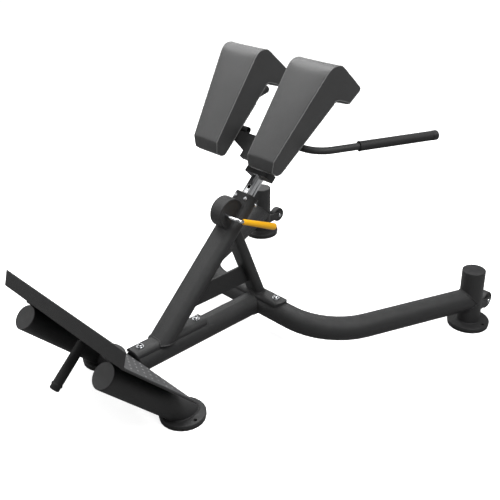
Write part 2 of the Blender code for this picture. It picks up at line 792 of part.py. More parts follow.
def saddle_bolt(name, x, y):
    """A socket-head bolt with its washer, standing on a saddle."""
    head = BOLT_WASHER_T + BOLT_HEAD_T
    profile = [
        (0.0, head),
        (BOLT_HEAD_R - BOLT_EDGE, head),
        (BOLT_HEAD_R, head - BOLT_EDGE),
        (BOLT_HEAD_R, BOLT_WASHER_T),
        (BOLT_WASHER_R, BOLT_WASHER_T),
        (BOLT_WASHER_R, 0.0),
        (BOLT_R, 0.0),
        (BOLT_R, -BOLT_SHANK),
        (0.0, -BOLT_SHANK),
    ]
    seat = BASE_Z + SADDLE_TOP + GAP
    made = place(turned(name, profile, SMALL_SIDES), (x, y, seat))
    sixths = [math.radians(60 * corner) for corner in range(6)]
    socket = [Vector((math.cos(turn), math.sin(turn), 0.0)) * SOCKET_R for turn in sixths]
    tool = place(slab(name + "_socket", [socket], head - SOCKET_DEEP, head * 2), (x, y, seat))
    dress(combine(made, tool, "DIFFERENCE"), ZINC)


def brace_tube():
    """The tube behind the post, coped on the rear saddle and on the back of the post."""
    turn = (0.0, -BRACE_LEAN, 0.0)
    foot_spot = Vector((BRACE_FOOT_X, 0.0, BRACE_FOOT_Z))
    up = Vector((-math.sin(BRACE_LEAN), 0.0, math.cos(BRACE_LEAN)))
    post_back = POST_OUT - POST_HALF_D / 2
    reach = (post_back - foot_spot.dot(POST_OUTWARD)) / up.dot(POST_OUTWARD)
    outer = rectangle(BRACE_D / 2, BRACE_W / 2, BRACE_ROUND, 4)
    inner = rectangle(BRACE_D / 2 - BRACE_WALL, BRACE_W / 2 - BRACE_WALL, BRACE_ROUND - BRACE_WALL, 4)
    made = slab("brace_tube", [outer, inner], -BRACE_BELOW, reach)
    place(made, foot_spot, turn)
    seat = slab("brace_seat", [rectangle(COPE_REACH, COPE_REACH)], 0.0, SADDLE_TOP + GAP)
    combine(made, place(seat, (CROSS_X, 0.0, BASE_Z)), "DIFFERENCE")
    combine(made, post_shape("post_behind"), "DIFFERENCE")
    dress(made, BLACK_PAINT)


def tie_bar():
    """A flat plate between the back of the post and the front of the brace."""
    back_line = (POST_OUT - POST_HALF_D - GAP) * math.sqrt(2.0)
    lean = math.tan(BRACE_LEAN)
    front = BRACE_D / 2 + GAP
    front_x = BRACE_FOOT_X - front / math.cos(BRACE_LEAN)
    outline = [
        Vector((TIE_BOTTOM - back_line, TIE_BOTTOM, 0.0)),
        Vector((front_x - (TIE_BOTTOM - BRACE_FOOT_Z) * lean, TIE_BOTTOM, 0.0)),
        Vector((front_x - (TIE_TOP - BRACE_FOOT_Z) * lean, TIE_TOP, 0.0)),
        Vector((TIE_TOP - back_line, TIE_TOP, 0.0)),
    ]
    made = slab("tie_bar", [outline], -TIE_T / 2, TIE_T / 2)
    dress(place(made, (0.0, 0.0, 0.0), ACROSS), BLACK_PAINT)


def guide_sleeve():
    """The plastic sleeve in the top of the post that the inner post slides in. Its lip covers the end."""
    bore = rectangle(INNER_HALF_D + GAP, INNER_HALF_Y + GAP, INNER_ROUND)
    body = slab("guide_sleeve", [stadium(POST_WALL + GAP), bore], SLEEVE_FOOT_A, POST_TOP_A + GAP * 2)
    lip = slab("sleeve_lip", [stadium(), bore], POST_TOP_A + GAP, POST_TOP_A + GAP + SLEEVE_LIP)
    where = slope_point(0.0, 0.0, POST_OUT)
    place(body, where, ALONG_POST)
    place(lip, where, ALONG_POST)
    combine(body, lip, "UNION")
    front = slope_point(LOCK_A, 0.0, POST_OUT + POST_HALF_D)
    pin_hole = (front, POST_OUTWARD, LOCK_HOLE_R, POST_HALF_D)
    dress(drill(body, [pin_hole] + guide_holes()), BLACK_PLASTIC)


def guide_bolt(key):
    """A dome-head screw that holds the guide sleeve."""
    dome = [(GUIDE_HEAD_R * out, GUIDE_HEAD_T * up) for out, up in DOME]
    profile = dome + [
        (GUIDE_HEAD_R, GAP),
        (GUIDE_BOLT_R, GAP),
        (GUIDE_BOLT_R, -GUIDE_SHANK),
        (0.0, -GUIDE_SHANK),
    ]
    seat, out = guide_bolt_seat(key)
    dress(point_along(turned(f"guide_bolt_{key}", profile, SMALL_SIDES), seat, out), ZINC)


def lock_housing():
    """The hollow drum across the front of the post, open towards it. The lever enters its near wall."""
    recess = DRUM_HALF - DRUM_RECESS
    rim = DRUM_R - DRUM_RIM
    edge = DRUM_R - DRUM_EDGE
    profile = [
        (0.0, recess),
        (rim - DRUM_RECESS, recess),
        (rim, DRUM_HALF),
        (edge, DRUM_HALF),
        (DRUM_R, DRUM_HALF - DRUM_EDGE),
        (DRUM_R, DRUM_EDGE - DRUM_HALF),
        (edge, -DRUM_HALF),
        (rim, -DRUM_HALF),
        (rim - DRUM_RECESS, -recess),
        (0.0, -recess),
    ]
    centre = slope_point(DRUM_A, 0.0, DRUM_OUT)
    made = place(turned("lock_housing", profile, TUBE_SIDES + 8), centre, ACROSS)
    inside = DRUM_HALF - DRUM_WALL
    hollow = tube_shape("drum_inside", centre, ACROSS, DRUM_R - DRUM_WALL, inside * 2)
    combine(made, hollow, "DIFFERENCE")
    combine(made, post_shape("post_in_drum"), "DIFFERENCE")
    near_wall = slope_point(SHAFT_A, -DRUM_HALF, SHAFT_OUT)
    dress(drill(made, [(near_wall, LATERAL, ROD_R + RUNNING, DRUM_WALL * 3)]), BLACK_PAINT)


def inner_post():
    """The chromed tube that slides in the post, with a row of lock holes down its front."""
    outer = rectangle(INNER_HALF_D, INNER_HALF_Y, INNER_ROUND)
    inner = rectangle(INNER_HALF_D - INNER_WALL, INNER_HALF_Y - INNER_WALL, INNER_ROUND - INNER_WALL)
    made = slab("inner_post", [outer, inner], INNER_FOOT_A, INNER_TOP_A)
    place(made, slope_point(0.0, 0.0, POST_OUT), ALONG_POST)
    front = POST_OUT + INNER_HALF_D
    holes = [
        (slope_point(LOCK_A + step * HOLE_PITCH, 0.0, front), POST_OUTWARD, LOCK_HOLE_R, INNER_WALL * 4)
        for step in range(-HOLES_DOWN, HOLES_UP + 1)
    ]
    dress(drill(made, holes), CHROME)


def lock_pin():
    """The pin that drops into a hole of the inner post. It is stored riding clear of the tube."""
    tip = POST_OUT + INNER_HALF_D + GAP
    head = SHAFT_OUT + PIN_HEAD_RISE - tip
    top = head + PIN_HEAD_T
    profile = [
        (0.0, top + PIN_STUB),
        (PIN_R, top + PIN_STUB),
        (PIN_R, top),
        (PIN_HEAD_R, top),
        (PIN_HEAD_R, head),
        (PIN_R, head),
        (PIN_R, PIN_TIP_TAPER),
        (PIN_R - PIN_TIP_TAPER, 0.0),
        (0.0, 0.0),
    ]
    made = turned("lock_pin", profile, DRILL_SIDES)
    dress(place(made, slope_point(LOCK_A, 0.0, tip), OUT_OF_POST), CHROME)


def lock_crank():
    """The fork on the lever's shaft that lifts the pin by its head."""
    centre = slope_point(SHAFT_A, 0.0, SHAFT_OUT)
    hub = [
        (CRANK_HUB_R, CRANK_HALF_Y),
        (CRANK_HUB_R, -CRANK_HALF_Y),
        (ROD_R + GAP, -CRANK_HALF_Y),
        (ROD_R + GAP, CRANK_HALF_Y),
    ]
    made = place(turned("lock_crank", hub, TUBE_SIDES, ring=True), centre, ACROSS)
    root = ROD_R + PART_GAP * 2
    outline = [
        Vector((root, -CRANK_HALF_Y, 0.0)),
        Vector((CRANK_REACH, -CRANK_HALF_Y, 0.0)),
        Vector((CRANK_REACH, -CRANK_SLOT_HALF, 0.0)),
        Vector((CRANK_SLOT_FROM, -CRANK_SLOT_HALF, 0.0)),
        Vector((CRANK_SLOT_FROM, CRANK_SLOT_HALF, 0.0)),
        Vector((CRANK_REACH, CRANK_SLOT_HALF, 0.0)),
        Vector((CRANK_REACH, CRANK_HALF_Y, 0.0)),
        Vector((root, CRANK_HALF_Y, 0.0)),
    ]
    fork = slab("crank_fork", [outline], -CRANK_HALF_T, CRANK_HALF_T)
    place(fork, centre, OUT_OF_POST)
    dress(combine(made, fork, "UNION"), ZINC)


def lever_line():
    """The corner where the lever leaves its shaft's line, and the direction it runs from there."""
    corner = slope_point(SHAFT_A, LEVER_Y, SHAFT_OUT)
    return corner, Vector((math.cos(LEVER_DROP), 0.0, -math.sin(LEVER_DROP)))


def lever_rod():
    """The chromed rod: straight out of the drum, then bent back beside the post."""
    shaft = slope_point(SHAFT_A, 0.0, SHAFT_OUT)
    corner, along = lever_line()
    inside = shaft + LATERAL * ROD_INSIDE_Y
    tip = corner + along * (LEVER_GRIP_FROM + ROD_IN_GRIP)
    path = fillet([inside, corner, tip], ROD_BEND_R, ROD_BEND_STEPS)
    made = swept("lever_rod", [spot - shaft for spot in path], ROD_R, DRILL_SIDES)
    dress(place(made, shaft), CHROME)


def lever_grip():
    """The yellow hand grip, a little flattened and wider towards its end."""
    corner, along = lever_line()
    length = LEVER_GRIP_TO - LEVER_GRIP_FROM
    wide = LEVER_GRIP_END_R
    narrow = LEVER_GRIP_FRONT_R
    profile = [
        (0.0, length),
        (wide - LEVER_GRIP_NOSE, length - LEVER_GRIP_NOSE * 0.15),
        (wide - LEVER_GRIP_NOSE * 0.2, length - LEVER_GRIP_NOSE),
        (wide, length - LEVER_GRIP_NOSE * 2),
        ((narrow + wide) / 2, length / 2),
        (narrow, LEVER_GRIP_LIP),
        (narrow - LEVER_GRIP_LIP / 2, 0.0),
        (0.0, 0.0),
    ]
    made = turned("lever_grip", profile, SMALL_SIDES)
    for vertex in made.data.vertices:
        vertex.co.y *= LEVER_GRIP_FLAT
    turn = (0.0, math.radians(90) + LEVER_DROP, 0.0)
    start = corner + along * LEVER_GRIP_FROM
    place(made, start, turn)
    bore = (start, along, ROD_R + GAP, (ROD_IN_GRIP + GAP) * 2)
    dress(drill(made, [bore]), YELLOW_GRIP)


def pad_yoke():
    """The carriage head: a block on the inner post, a neck forward, and a spread plate behind both pads."""
    foot_a = INNER_TOP_A + GAP
    where = slope_point(0.0, 0.0, POST_OUT)
    made = slab("pad_yoke", [rectangle(HEAD_HALF_D, HEAD_HALF_Y, HEAD_ROUND)], foot_a, foot_a + HEAD_T)
    place(made, where, ALONG_POST)
    front = YOKE_OUT - POST_OUT + YOKE_T / 4
    neck_back = -HEAD_HALF_D / 2
    neck_mid = (-(front + neck_back) / 2, 0.0)
    neck_outline = rectangle((front - neck_back) / 2, NECK_HALF_Y, mid=neck_mid)
    neck_foot = foot_a + HEAD_T - PART_GAP * 2
    neck = slab("yoke_neck", [neck_outline], neck_foot, foot_a + HEAD_T + NECK_ABOVE_HEAD)
    combine(made, place(neck, where, ALONG_POST), "UNION")
    top = HANDLE_A - HANDLE_R - GAP
    corners = [
        (-NECK_HALF_Y, YOKE_FOOT_A),
        (NECK_HALF_Y, YOKE_FOOT_A),
        (NECK_HALF_Y, YOKE_INNER_LOW_A),
        (YOKE_HALF_Y, YOKE_OUTER_LOW_A),
        (YOKE_HALF_Y, top),
        (-YOKE_HALF_Y, top),
        (-YOKE_HALF_Y, YOKE_OUTER_LOW_A),
        (-NECK_HALF_Y, YOKE_INNER_LOW_A),
    ]
    plate = slab("yoke_plate", [[Vector((a, y, 0.0)) for y, a in corners]], -YOKE_T / 2, YOKE_T / 2)
    combine(made, place(plate, slope_point(0.0, 0.0, YOKE_OUT), OUT_OF_POST), "UNION")
    dress(made, BLACK_PAINT)


def pad_board(side, sign):
    """The plywood board on the back of a pad."""
    widen = PAD_SPREAD * math.cos(SLOPE - FACE_LEAN)
    foot_y = PAD_OUTER_Y - BOARD_INSET
    top_y = foot_y + widen * (BOARD_TOP_A - BOARD_FOOT_A)
    inner_y = PAD_INNER_Y + BOARD_INSET
    corners = [
        (BOARD_FOOT_A, inner_y),
        (BOARD_FOOT_A, foot_y),
        (BOARD_TOP_A, top_y),
        (BOARD_TOP_A, inner_y),
    ]
    outline = fillet([Vector((a, sign * y, 0.0)) for a, y in corners], BOARD_ROUND, 3, closed=True)
    made = slab(f"pad_board_{side}", [outline], -BOARD_T, 0.0)
    dress(place(made, slope_point(0.0, 0.0, PAD_BACK_OUT - GAP), OUT_OF_POST), STAINED_PLY)


def face_foot():
    """The middle of the bench at the foot of the pads' faces."""
    return slope_point(INNER_TOP_A - PAD_FOOT_DROP, 0.0, PAD_FACE_OUT)


def pad_back(along):
    """How deep the back plane lies behind the face, at a distance up the face."""
    up = Vector((math.sin(FACE_LEAN), 0.0, math.cos(FACE_LEAN)))
    deep = Vector((math.cos(FACE_LEAN), 0.0, -math.sin(FACE_LEAN)))
    spot = face_foot() + up * along
    return (PAD_BACK_OUT - spot.dot(POST_OUTWARD)) / deep.dot(POST_OUTWARD)


# A pad's outline seen from its side: the corners as (up the face, behind the face), and the radius at each
PAD_CORNERS = (
    (0.3500, 0.0, 0.048),
    (0.3345, 0.1830, 0.014),
    (0.2700, 0.1700, 0.012),
    (0.2530, None, 0.018),
    (-0.0200, None, 0.024),
    (-0.0200, 0.0220, 0.010),
    (0.0100, 0.0, 0.012),
)
PAD_CORNER_STEPS = 6
PAD_STEP = 0.060
PAD_STATIONS = (-1.0, -0.5, 0.0, 0.5, 1.0)


def pad_outline():
    """The side outline as (along the face, behind it). A corner with no depth lies on the back plane."""
    corners = []
    for along, behind, _ in PAD_CORNERS:
        depth = pad_back(along) if behind is None else behind
        corners.append(Vector((along, depth, 0.0)))
    radii = tuple(radius for _, _, radius in PAD_CORNERS)
    bends = fillet(corners, radii, PAD_CORNER_STEPS, closed=True)
    points = []
    for index, here in enumerate(bends):
        after = bends[(index + 1) % len(bends)]
        parts = math.ceil((after - here).length / PAD_STEP)
        points += [here.lerp(after, part / parts) for part in range(parts)]
    return points


def thigh_pad(side, sign):
    """A cushion: one strip wrapped round the side outline, crowned on the face, and two flat side panels."""
    outline = pad_outline()
    face_length = PAD_CORNERS[0][0] - PAD_CORNERS[0][2]
    work = bmesh.new()
    rings = []
    for share in PAD_STATIONS:
        ring = []
        for spot in outline:
            along, behind = spot.x, spot.y
            inner = PAD_INNER_Y + PAD_DRAWN_IN * behind
            outer = PAD_OUTER_Y + PAD_SPREAD * along - PAD_DRAWN_IN * behind
            height = 2 * along / face_length - 1
            if behind < HAIR and abs(height) < 1:
                behind -= PAD_CROWN * (1 - share**2) * (1 - height**2)
            y = (inner + outer) / 2 + share * (outer - inner) / 2
            ring.append(work.verts.new((behind, sign * y, along)))
        rings.append(ring)
    for ring, after in zip(rings, rings[1:]):
        for index in range(len(ring)):
            last = index - 1
            work.faces.new((ring[last], ring[index], after[index], after[last]))
    work.faces.new(reversed(rings[0]))
    work.faces.new(rings[-1])
    if work.calc_volume(signed=True) < 0:
        bmesh.ops.reverse_faces(work, faces=work.faces)
    mesh = bpy.data.meshes.new(f"thigh_pad_{side}")
    work.to_mesh(mesh)
    work.free()
    made = add(mesh.name, mesh)
    seam = made.modifiers.new("Seam", "BEVEL")
    seam.width = PAD_SEAM_ROUND
    seam.segments = 3
    seam.limit_method = "ANGLE"
    seam.angle_limit = math.radians(60)
    mesh.shade_smooth()
    dress(place(made, face_foot(), (0.0, FACE_LEAN, 0.0)), DARK_VINYL)


def handle(side, sign):
    """One handle: a bent tube behind the pads, swept back and out, with a grip and an end cap."""
    mirror = Vector((1.0, sign, 1.0))
    end = HANDLE_END * mirror
    inner = slope_point(HANDLE_A, sign * HANDLE_INNER_Y, HANDLE_OUT)
    run = (end.x - inner.x) / math.cos(HANDLE_SPLAY)
    corner = Vector((inner.x, sign * (HANDLE_END.y - run * math.sin(HANDLE_SPLAY)), inner.z))
    forward = (corner - end).normalized()
    tube_end = end + forward * (HANDLE_CAP_LENGTH + GAP)
    path = fillet([inner, corner, tube_end], HANDLE_BEND_R, HANDLE_BEND_STEPS)
    dress(swept(f"handle_bar_{side}", path, HANDLE_R, SMALL_SIDES, HANDLE_WALL), BLACK_PAINT)
    bore = HANDLE_R + GAP
    start = HANDLE_CAP_LENGTH + GAP * 2
    collar = HANDLE_GRIP_FROM - HANDLE_COLLAR_T
    sleeve = [
        (HANDLE_COLLAR_R, HANDLE_GRIP_FROM),
        (HANDLE_COLLAR_R, collar),
        (HANDLE_GRIP_R, collar),
        (HANDLE_GRIP_R, start),
        (bore, start),
        (bore, HANDLE_GRIP_FROM),
    ]
    grip = turned(f"handle_grip_{side}", sleeve, SMALL_SIDES, ring=True)
    dress(point_along(grip, end, forward), BLACK_RUBBER)
    plug = HANDLE_R - HANDLE_WALL - GAP
    cap_profile = [
        (0.0, HANDLE_CAP_LENGTH + HANDLE_PLUG),
        (plug, HANDLE_CAP_LENGTH + HANDLE_PLUG),
        (plug, HANDLE_CAP_LENGTH),
        (HANDLE_CAP_R, HANDLE_CAP_LENGTH),
        (HANDLE_CAP_R, HANDLE_CAP_ROUND),
        (HANDLE_CAP_R - HANDLE_CAP_ROUND, 0.0),
        (0.0, 0.0),
    ]
    cap = turned(f"handle_cap_{side}", cap_profile, SMALL_SIDES)
    dress(point_along(cap, end, forward), BLACK_PLASTIC)


def wheel_bracket(side, sign):
    """A fork behind a rear post: a block coped on the post, and a cheek on each side of the wheel."""
    y = sign * REAR_POST_Y
    half = WHEEL_HALF_W + CHEEK_SIDE_GAP + CHEEK_T
    end = WHEEL_X + CHEEK_END_R
    corners = [
        Vector((REAR_POST_X, WHEEL_Z - CHEEK_HALF_H, 0.0)),
        Vector((end, WHEEL_Z - CHEEK_END_R, 0.0)),
        Vector((end, WHEEL_Z + CHEEK_END_R, 0.0)),
        Vector((REAR_POST_X, WHEEL_Z + CHEEK_HALF_H, 0.0)),
    ]
    outline = corners[:1] + fillet(corners, CHEEK_END_R * 0.9, 5)[1:]
    made = slab(f"wheel_bracket_{side}", [outline], -half, half)
    place(made, (0.0, y, 0.0), ACROSS)
    inside = half - CHEEK_T
    room = slab(f"wheel_room_{side}", [rectangle(WHEEL_R * 2, WHEEL_R * 2)], -inside, inside)
    place(room, (FORK_WEB_X + WHEEL_R * 2, y, WHEEL_Z), ACROSS)
    combine(made, room, "DIFFERENCE")
    centre = (REAR_POST_X, y, WHEEL_Z)
    cope = tube_shape(f"cope_fork_{side}", centre, (0.0, 0.0, 0.0), TUBE_R + GAP, COPE_REACH)
    combine(made, cope, "DIFFERENCE")
    hole = (Vector((WHEEL_X, y, WHEEL_Z)), LATERAL, AXLE_HOLE_R, half * 4)
    dress(drill(made, [hole]), BLACK_PAINT)


def wheel(side, sign):
    """A transport wheel with a raised hub."""
    half = WHEEL_HALF_W
    dish = half - WHEEL_DISH
    bore = AXLE_R + RUNNING
    rim = WHEEL_R - WHEEL_DISH * 2
    profile = [
        (bore, half),
        (WHEEL_HUB_R, half),
        (WHEEL_HUB_R, dish),
        (rim, dish),
        (rim + WHEEL_DISH, half),
        (WHEEL_R - WHEEL_DISH / 2, half),
        (WHEEL_R, dish),
        (WHEEL_R, -dish),
        (WHEEL_R - WHEEL_DISH / 2, -half),
        (rim + WHEEL_DISH, -half),
        (rim, -dish),
        (WHEEL_HUB_R, -dish),
        (WHEEL_HUB_R, -half),
        (bore, -half),
    ]
    made = turned(f"wheel_{side}", profile, DRILL_SIDES, ring=True)
    dress(place(made, (WHEEL_X, sign * REAR_POST_Y, WHEEL_Z), ACROSS), BLACK_RUBBER)


def wheel_axle(side, sign):
    """The axle bolt with its nut, head towards the lever's side of the bench."""
    half = WHEEL_HALF_W + CHEEK_SIDE_GAP + CHEEK_T + GAP
    dome = [(AXLE_HEAD_R * out, half + AXLE_HEAD_T * up) for out, up in DOME]
    profile = dome + [
        (AXLE_HEAD_R, half),
        (AXLE_R, half),
        (AXLE_R, -half),
        (AXLE_HEAD_R, -half),
        (AXLE_HEAD_R, -half - AXLE_NUT_T),
        (0.0, -half - AXLE_NUT_T),
    ]
    made = turned(f"wheel_axle_{side}", profile, DRILL_SIDES)
    dress(place(made, (WHEEL_X, sign * REAR_POST_Y, WHEEL_Z), ACROSS), ZINC)


def build():
    rear_cross_tube()
    main_beam()
    front_cross_tube()
    foot_platform()
    platform_tread()
    lift_handle()
    main_post()
    post_saddle()
    brace_saddle()
    brace_tube()
    tie_bar()
    guide_sleeve()
    lock_housing()
    inner_post()
    lock_pin()
    lock_crank()
    lever_rod()
    lever_grip()
    pad_yoke()
    for end, x in zip(("front", "rear"), POST_BOLT_X):
        saddle_bolt(f"post_saddle_bolt_{end}", x, 0.0)
    for key in GUIDE_BOLTS:
        guide_bolt(key)
    for side, sign in SIDES.items():
        saddle_bolt(f"brace_saddle_bolt_{side}", CROSS_X, sign * BRACE_BOLT_Y)
        rear_post(side, sign)
        front_leg(side, sign)
        foot("front", side, LEG_FOOT_X, sign * LEG_Y, sign)
        foot("rear", side, REAR_POST_X, sign * REAR_POST_Y, sign)
        wheel_bracket(side, sign)
        wheel(side, sign)
        wheel_axle(side, sign)
        pad_board(side, sign)
        thigh_pad(side, sign)
        handle(side, sign)


clear_scene()
BENCH = new_collection("hyperextension_bench")
HIDDEN = new_collection("cutting_shapes")
HIDDEN.hide_render = True
ROOT = new_root("bench_origin")
build()
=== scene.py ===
"""A hyperextension bench in its real finishes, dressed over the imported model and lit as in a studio."""

import json
import math

import bmesh
import bpy
from mathutils import Matrix, Vector
from mathutils.bvhtree import BVHTree
from mathutils.kdtree import KDTree


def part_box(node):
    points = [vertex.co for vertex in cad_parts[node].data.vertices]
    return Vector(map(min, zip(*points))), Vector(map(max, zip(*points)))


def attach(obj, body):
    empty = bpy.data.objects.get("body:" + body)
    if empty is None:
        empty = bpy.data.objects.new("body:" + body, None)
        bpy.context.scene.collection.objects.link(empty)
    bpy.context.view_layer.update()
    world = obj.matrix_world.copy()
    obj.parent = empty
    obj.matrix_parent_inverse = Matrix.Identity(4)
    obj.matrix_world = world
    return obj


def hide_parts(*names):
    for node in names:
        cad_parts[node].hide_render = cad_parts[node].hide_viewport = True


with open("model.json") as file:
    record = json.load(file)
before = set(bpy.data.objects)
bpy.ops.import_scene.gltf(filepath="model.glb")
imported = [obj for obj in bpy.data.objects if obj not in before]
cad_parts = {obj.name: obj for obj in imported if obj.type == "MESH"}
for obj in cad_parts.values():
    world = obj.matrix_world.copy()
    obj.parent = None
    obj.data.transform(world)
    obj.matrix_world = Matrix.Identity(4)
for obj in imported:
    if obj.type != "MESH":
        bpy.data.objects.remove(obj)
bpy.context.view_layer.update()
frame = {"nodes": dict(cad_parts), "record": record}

# The welded frame: round 76 mm steel tubes, a leaning flat-oval post and cut plates, all sprayed as one
# with a satin dark grey powder coat. Baked powder leaves a fine orange peel and, in use, a little dust
# on top and faint scuffs.
MID_X = 0.024518
COAT_GREY = (0.0250, 0.0253, 0.0257)
COAT_WORN = (0.042, 0.0425, 0.0432)
COAT_SHINE = 0.36
COAT_ROUGHNESS = 0.42
COAT_GRAIN = 560.0
COAT_DEPTH = 0.0012
COAT_DUST = 0.03
DUST_GREY = (0.30, 0.295, 0.285)


def add_node(tree, kind, values=(), **settings):
    """A shader node with its settings, and each input either linked or set."""
    made = tree.nodes.new("ShaderNode" + kind)
    for name, value in settings.items():
        setattr(made, name, value)
    for socket, value in dict(values).items():
        if isinstance(value, bpy.types.NodeSocket):
            tree.links.new(value, made.inputs[socket])
        else:
            made.inputs[socket].default_value = value
    return made


def new_group(name, inputs, outputs):
    """An empty shader node group with named sockets, and its input and output nodes."""
    tree = bpy.data.node_groups.new(name, "ShaderNodeTree")
    for label, value in inputs.items():
        socket = tree.interface.new_socket(label, in_out="INPUT", socket_type="NodeSocketFloat")
        socket.default_value = value
    for label, kind in outputs.items():
        tree.interface.new_socket(label, in_out="OUTPUT", socket_type=kind)
    return tree, tree.nodes.new("NodeGroupInput").outputs, tree.nodes.new("NodeGroupOutput").inputs


def make_orange_peel():
    """The fine skin of sprayed powder, and slow changes of tone over a panel."""
    kinds = {"Height": "NodeSocketFloat", "Tone": "NodeSocketFloat"}
    tree, given, out = new_group("orange_peel", {"Grain": 900.0, "Mottle": 14.0}, kinds)
    here = add_node(tree, "TexCoord").outputs["Object"]
    fine = {"Vector": here, "Scale": given["Grain"], "Detail": 2.0, "Roughness": 0.55}
    grain = add_node(tree, "TexNoise", fine)
    slow = {"Vector": here, "Scale": given["Mottle"], "Detail": 4.0, "Roughness": 0.6}
    mottle = add_node(tree, "TexNoise", slow)
    tree.links.new(grain.outputs["Fac"], out["Height"])
    tree.links.new(mottle.outputs["Fac"], out["Tone"])
    return tree


def make_settled_dust():
    """A mask of dust: more on faces that look up, and broken up by noise."""
    tree, given, out = new_group("settled_dust", {"Amount": 0.2, "Patch": 30.0}, {"Mask": "NodeSocketFloat"})
    coords = add_node(tree, "TexCoord").outputs
    up = add_node(tree, "SeparateXYZ", {"Vector": coords["Normal"]}).outputs["Z"]
    level = add_node(tree, "MapRange", {"Value": up, "From Min": 0.35, "From Max": 1.0}).outputs["Result"]
    fleck = add_node(tree, "TexNoise", {"Vector": coords["Object"], "Scale": given["Patch"], "Detail": 8.0})
    patch = add_node(tree, "MapRange", {"Value": fleck.outputs["Fac"], "From Min": 0.4, "From Max": 0.75})
    both = add_node(tree, "Math", {0: level, 1: patch.outputs["Result"]}, operation="MULTIPLY")
    scaled = add_node(tree, "Math", {0: both.outputs[0], 1: given["Amount"]}, operation="MULTIPLY")
    tree.links.new(scaled.outputs[0], out["Mask"])
    return tree


def make_scuffs():
    """A mask of faint, thin rub marks that run in two directions."""
    tree, given, out = new_group("scuffs", {"Amount": 0.3, "Size": 60.0}, {"Mask": "NodeSocketFloat"})
    here = add_node(tree, "TexCoord").outputs["Object"]
    marks = []
    for stretch in ((0.12, 1.0, 1.6), (1.5, 0.10, 0.9)):
        turned = add_node(tree, "Mapping", {"Vector": here, "Scale": stretch, "Rotation": (0.4, 0.7, 0.2)})
        streak = {"Vector": turned.outputs[0], "Scale": given["Size"], "Detail": 5.0}
        line = add_node(tree, "TexNoise", streak)
        thin = add_node(tree, "MapRange", {"Value": line.outputs["Fac"], "From Min": 0.68, "From Max": 0.78})
        marks.append(thin.outputs["Result"])
    both = add_node(tree, "Math", {0: marks[0], 1: marks[1]}, operation="MAXIMUM")
    scaled = add_node(tree, "Math", {0: both.outputs[0], 1: given["Amount"]}, operation="MULTIPLY")
    tree.links.new(scaled.outputs[0], out["Mask"])
    return tree


ORANGE_PEEL = make_orange_peel()
SETTLED_DUST = make_settled_dust()
SCUFFS = make_scuffs()


def use_group(tree, group, values=()):
    """One use of a node group, with its own values."""
    made = tree.nodes.new("ShaderNodeGroup")
    made.node_tree = group
    for socket, value in dict(values).items():
        made.inputs[socket].default_value = value
    return made.outputs


def blank_material(name, roughness, **sockets):
    """A new material with its Principled shader, its sockets set by name."""
    made = bpy.data.materials.new(name)
    made.use_nodes = True
    shader = made.node_tree.nodes["Principled BSDF"]
    shader.inputs["Roughness"].default_value = roughness
    for socket, value in sockets.items():
        shader.inputs[socket.replace("_", " ")].default_value = value
    return made, made.node_tree, shader.inputs


def blend_colours(tree, first, second, factor):
    """One colour over another, by a mask."""
    made = add_node(tree, "Mix", data_type="RGBA")
    for index, value in ((0, factor), (6, first), (7, second)):
        if isinstance(value, bpy.types.NodeSocket):
            tree.links.new(value, made.inputs[index])
        else:
            made.inputs[index].default_value = value if index == 0 else (*value, 1.0)
    return made.outputs[2]


def raise_surface(tree, sockets, height, distance, strength=1.0):
    """Feeds a height into the shader's normal."""
    bump = add_node(tree, "Bump", {"Height": height, "Distance": distance, "Strength": strength})
    tree.links.new(bump.outputs[0], sockets["Normal"])


def vary_roughness(tree, sockets, mask, low, high):
    """Spreads the middle of a mask over a range of roughness."""
    spread = {"Value": mask, "From Min": 0.3, "From Max": 0.7, "To Min": low, "To Max": high}
    gloss = add_node(tree, "MapRange", spread)
    tree.links.new(gloss.outputs["Result"], sockets["Roughness"])


def sprayed(name, colour, worn, roughness, grain, dust):
    """A powder-coated surface: mottled tone, fine skin, rub marks and dust."""
    made, tree, sockets = blank_material(name, roughness, Specular_IOR_Level=COAT_SHINE)
    peel = use_group(tree, ORANGE_PEEL, {"Grain": grain, "Mottle": 12.0})
    marks = use_group(tree, SCUFFS, {"Amount": 0.25, "Size": 46.0})
    fall = use_group(tree, SETTLED_DUST, {"Amount": dust, "Patch": 42.0})
    slow = {"Value": peel["Tone"], "From Min": 0.3, "From Max": 0.7, "To Max": 0.22}
    tone = add_node(tree, "MapRange", slow)
    base = blend_colours(tree, colour, worn, tone.outputs["Result"])
    rubbed = blend_colours(tree, base, worn, marks["Mask"])
    dusty = blend_colours(tree, rubbed, DUST_GREY, fall["Mask"])
    tree.links.new(dusty, sockets["Base Color"])
    vary_roughness(tree, sockets, peel["Tone"], roughness - 0.06, roughness + 0.08)
    raise_surface(tree, sockets, peel["Height"], COAT_DEPTH)
    return made


COAT = sprayed("powder_coat", COAT_GREY, COAT_WORN, COAT_ROUGHNESS, COAT_GRAIN, COAT_DUST)

BODY_OF = {node: body for body, nodes in frame["record"]["behaviour"]["bodies"].items() for node in nodes}
SMOOTH_BELOW = math.radians(33)
WELD_DISTANCE = 0.00002
FLAT_WITHIN = math.radians(0.5)


def dress(material, *nodes):
    """Gives CAD nodes that stay in view a finish."""
    for node in nodes:
        mesh = frame["nodes"][node].data
        mesh.materials.clear()
        mesh.materials.append(material)


def new_piece(name, data, material, body):
    """A piece of the bench that rides on a body."""
    made = bpy.data.objects.new(name, data)
    bpy.context.scene.collection.objects.link(made)
    if material is not None:
        data.materials.clear()
        data.materials.append(material)
    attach(made, body)
    return made


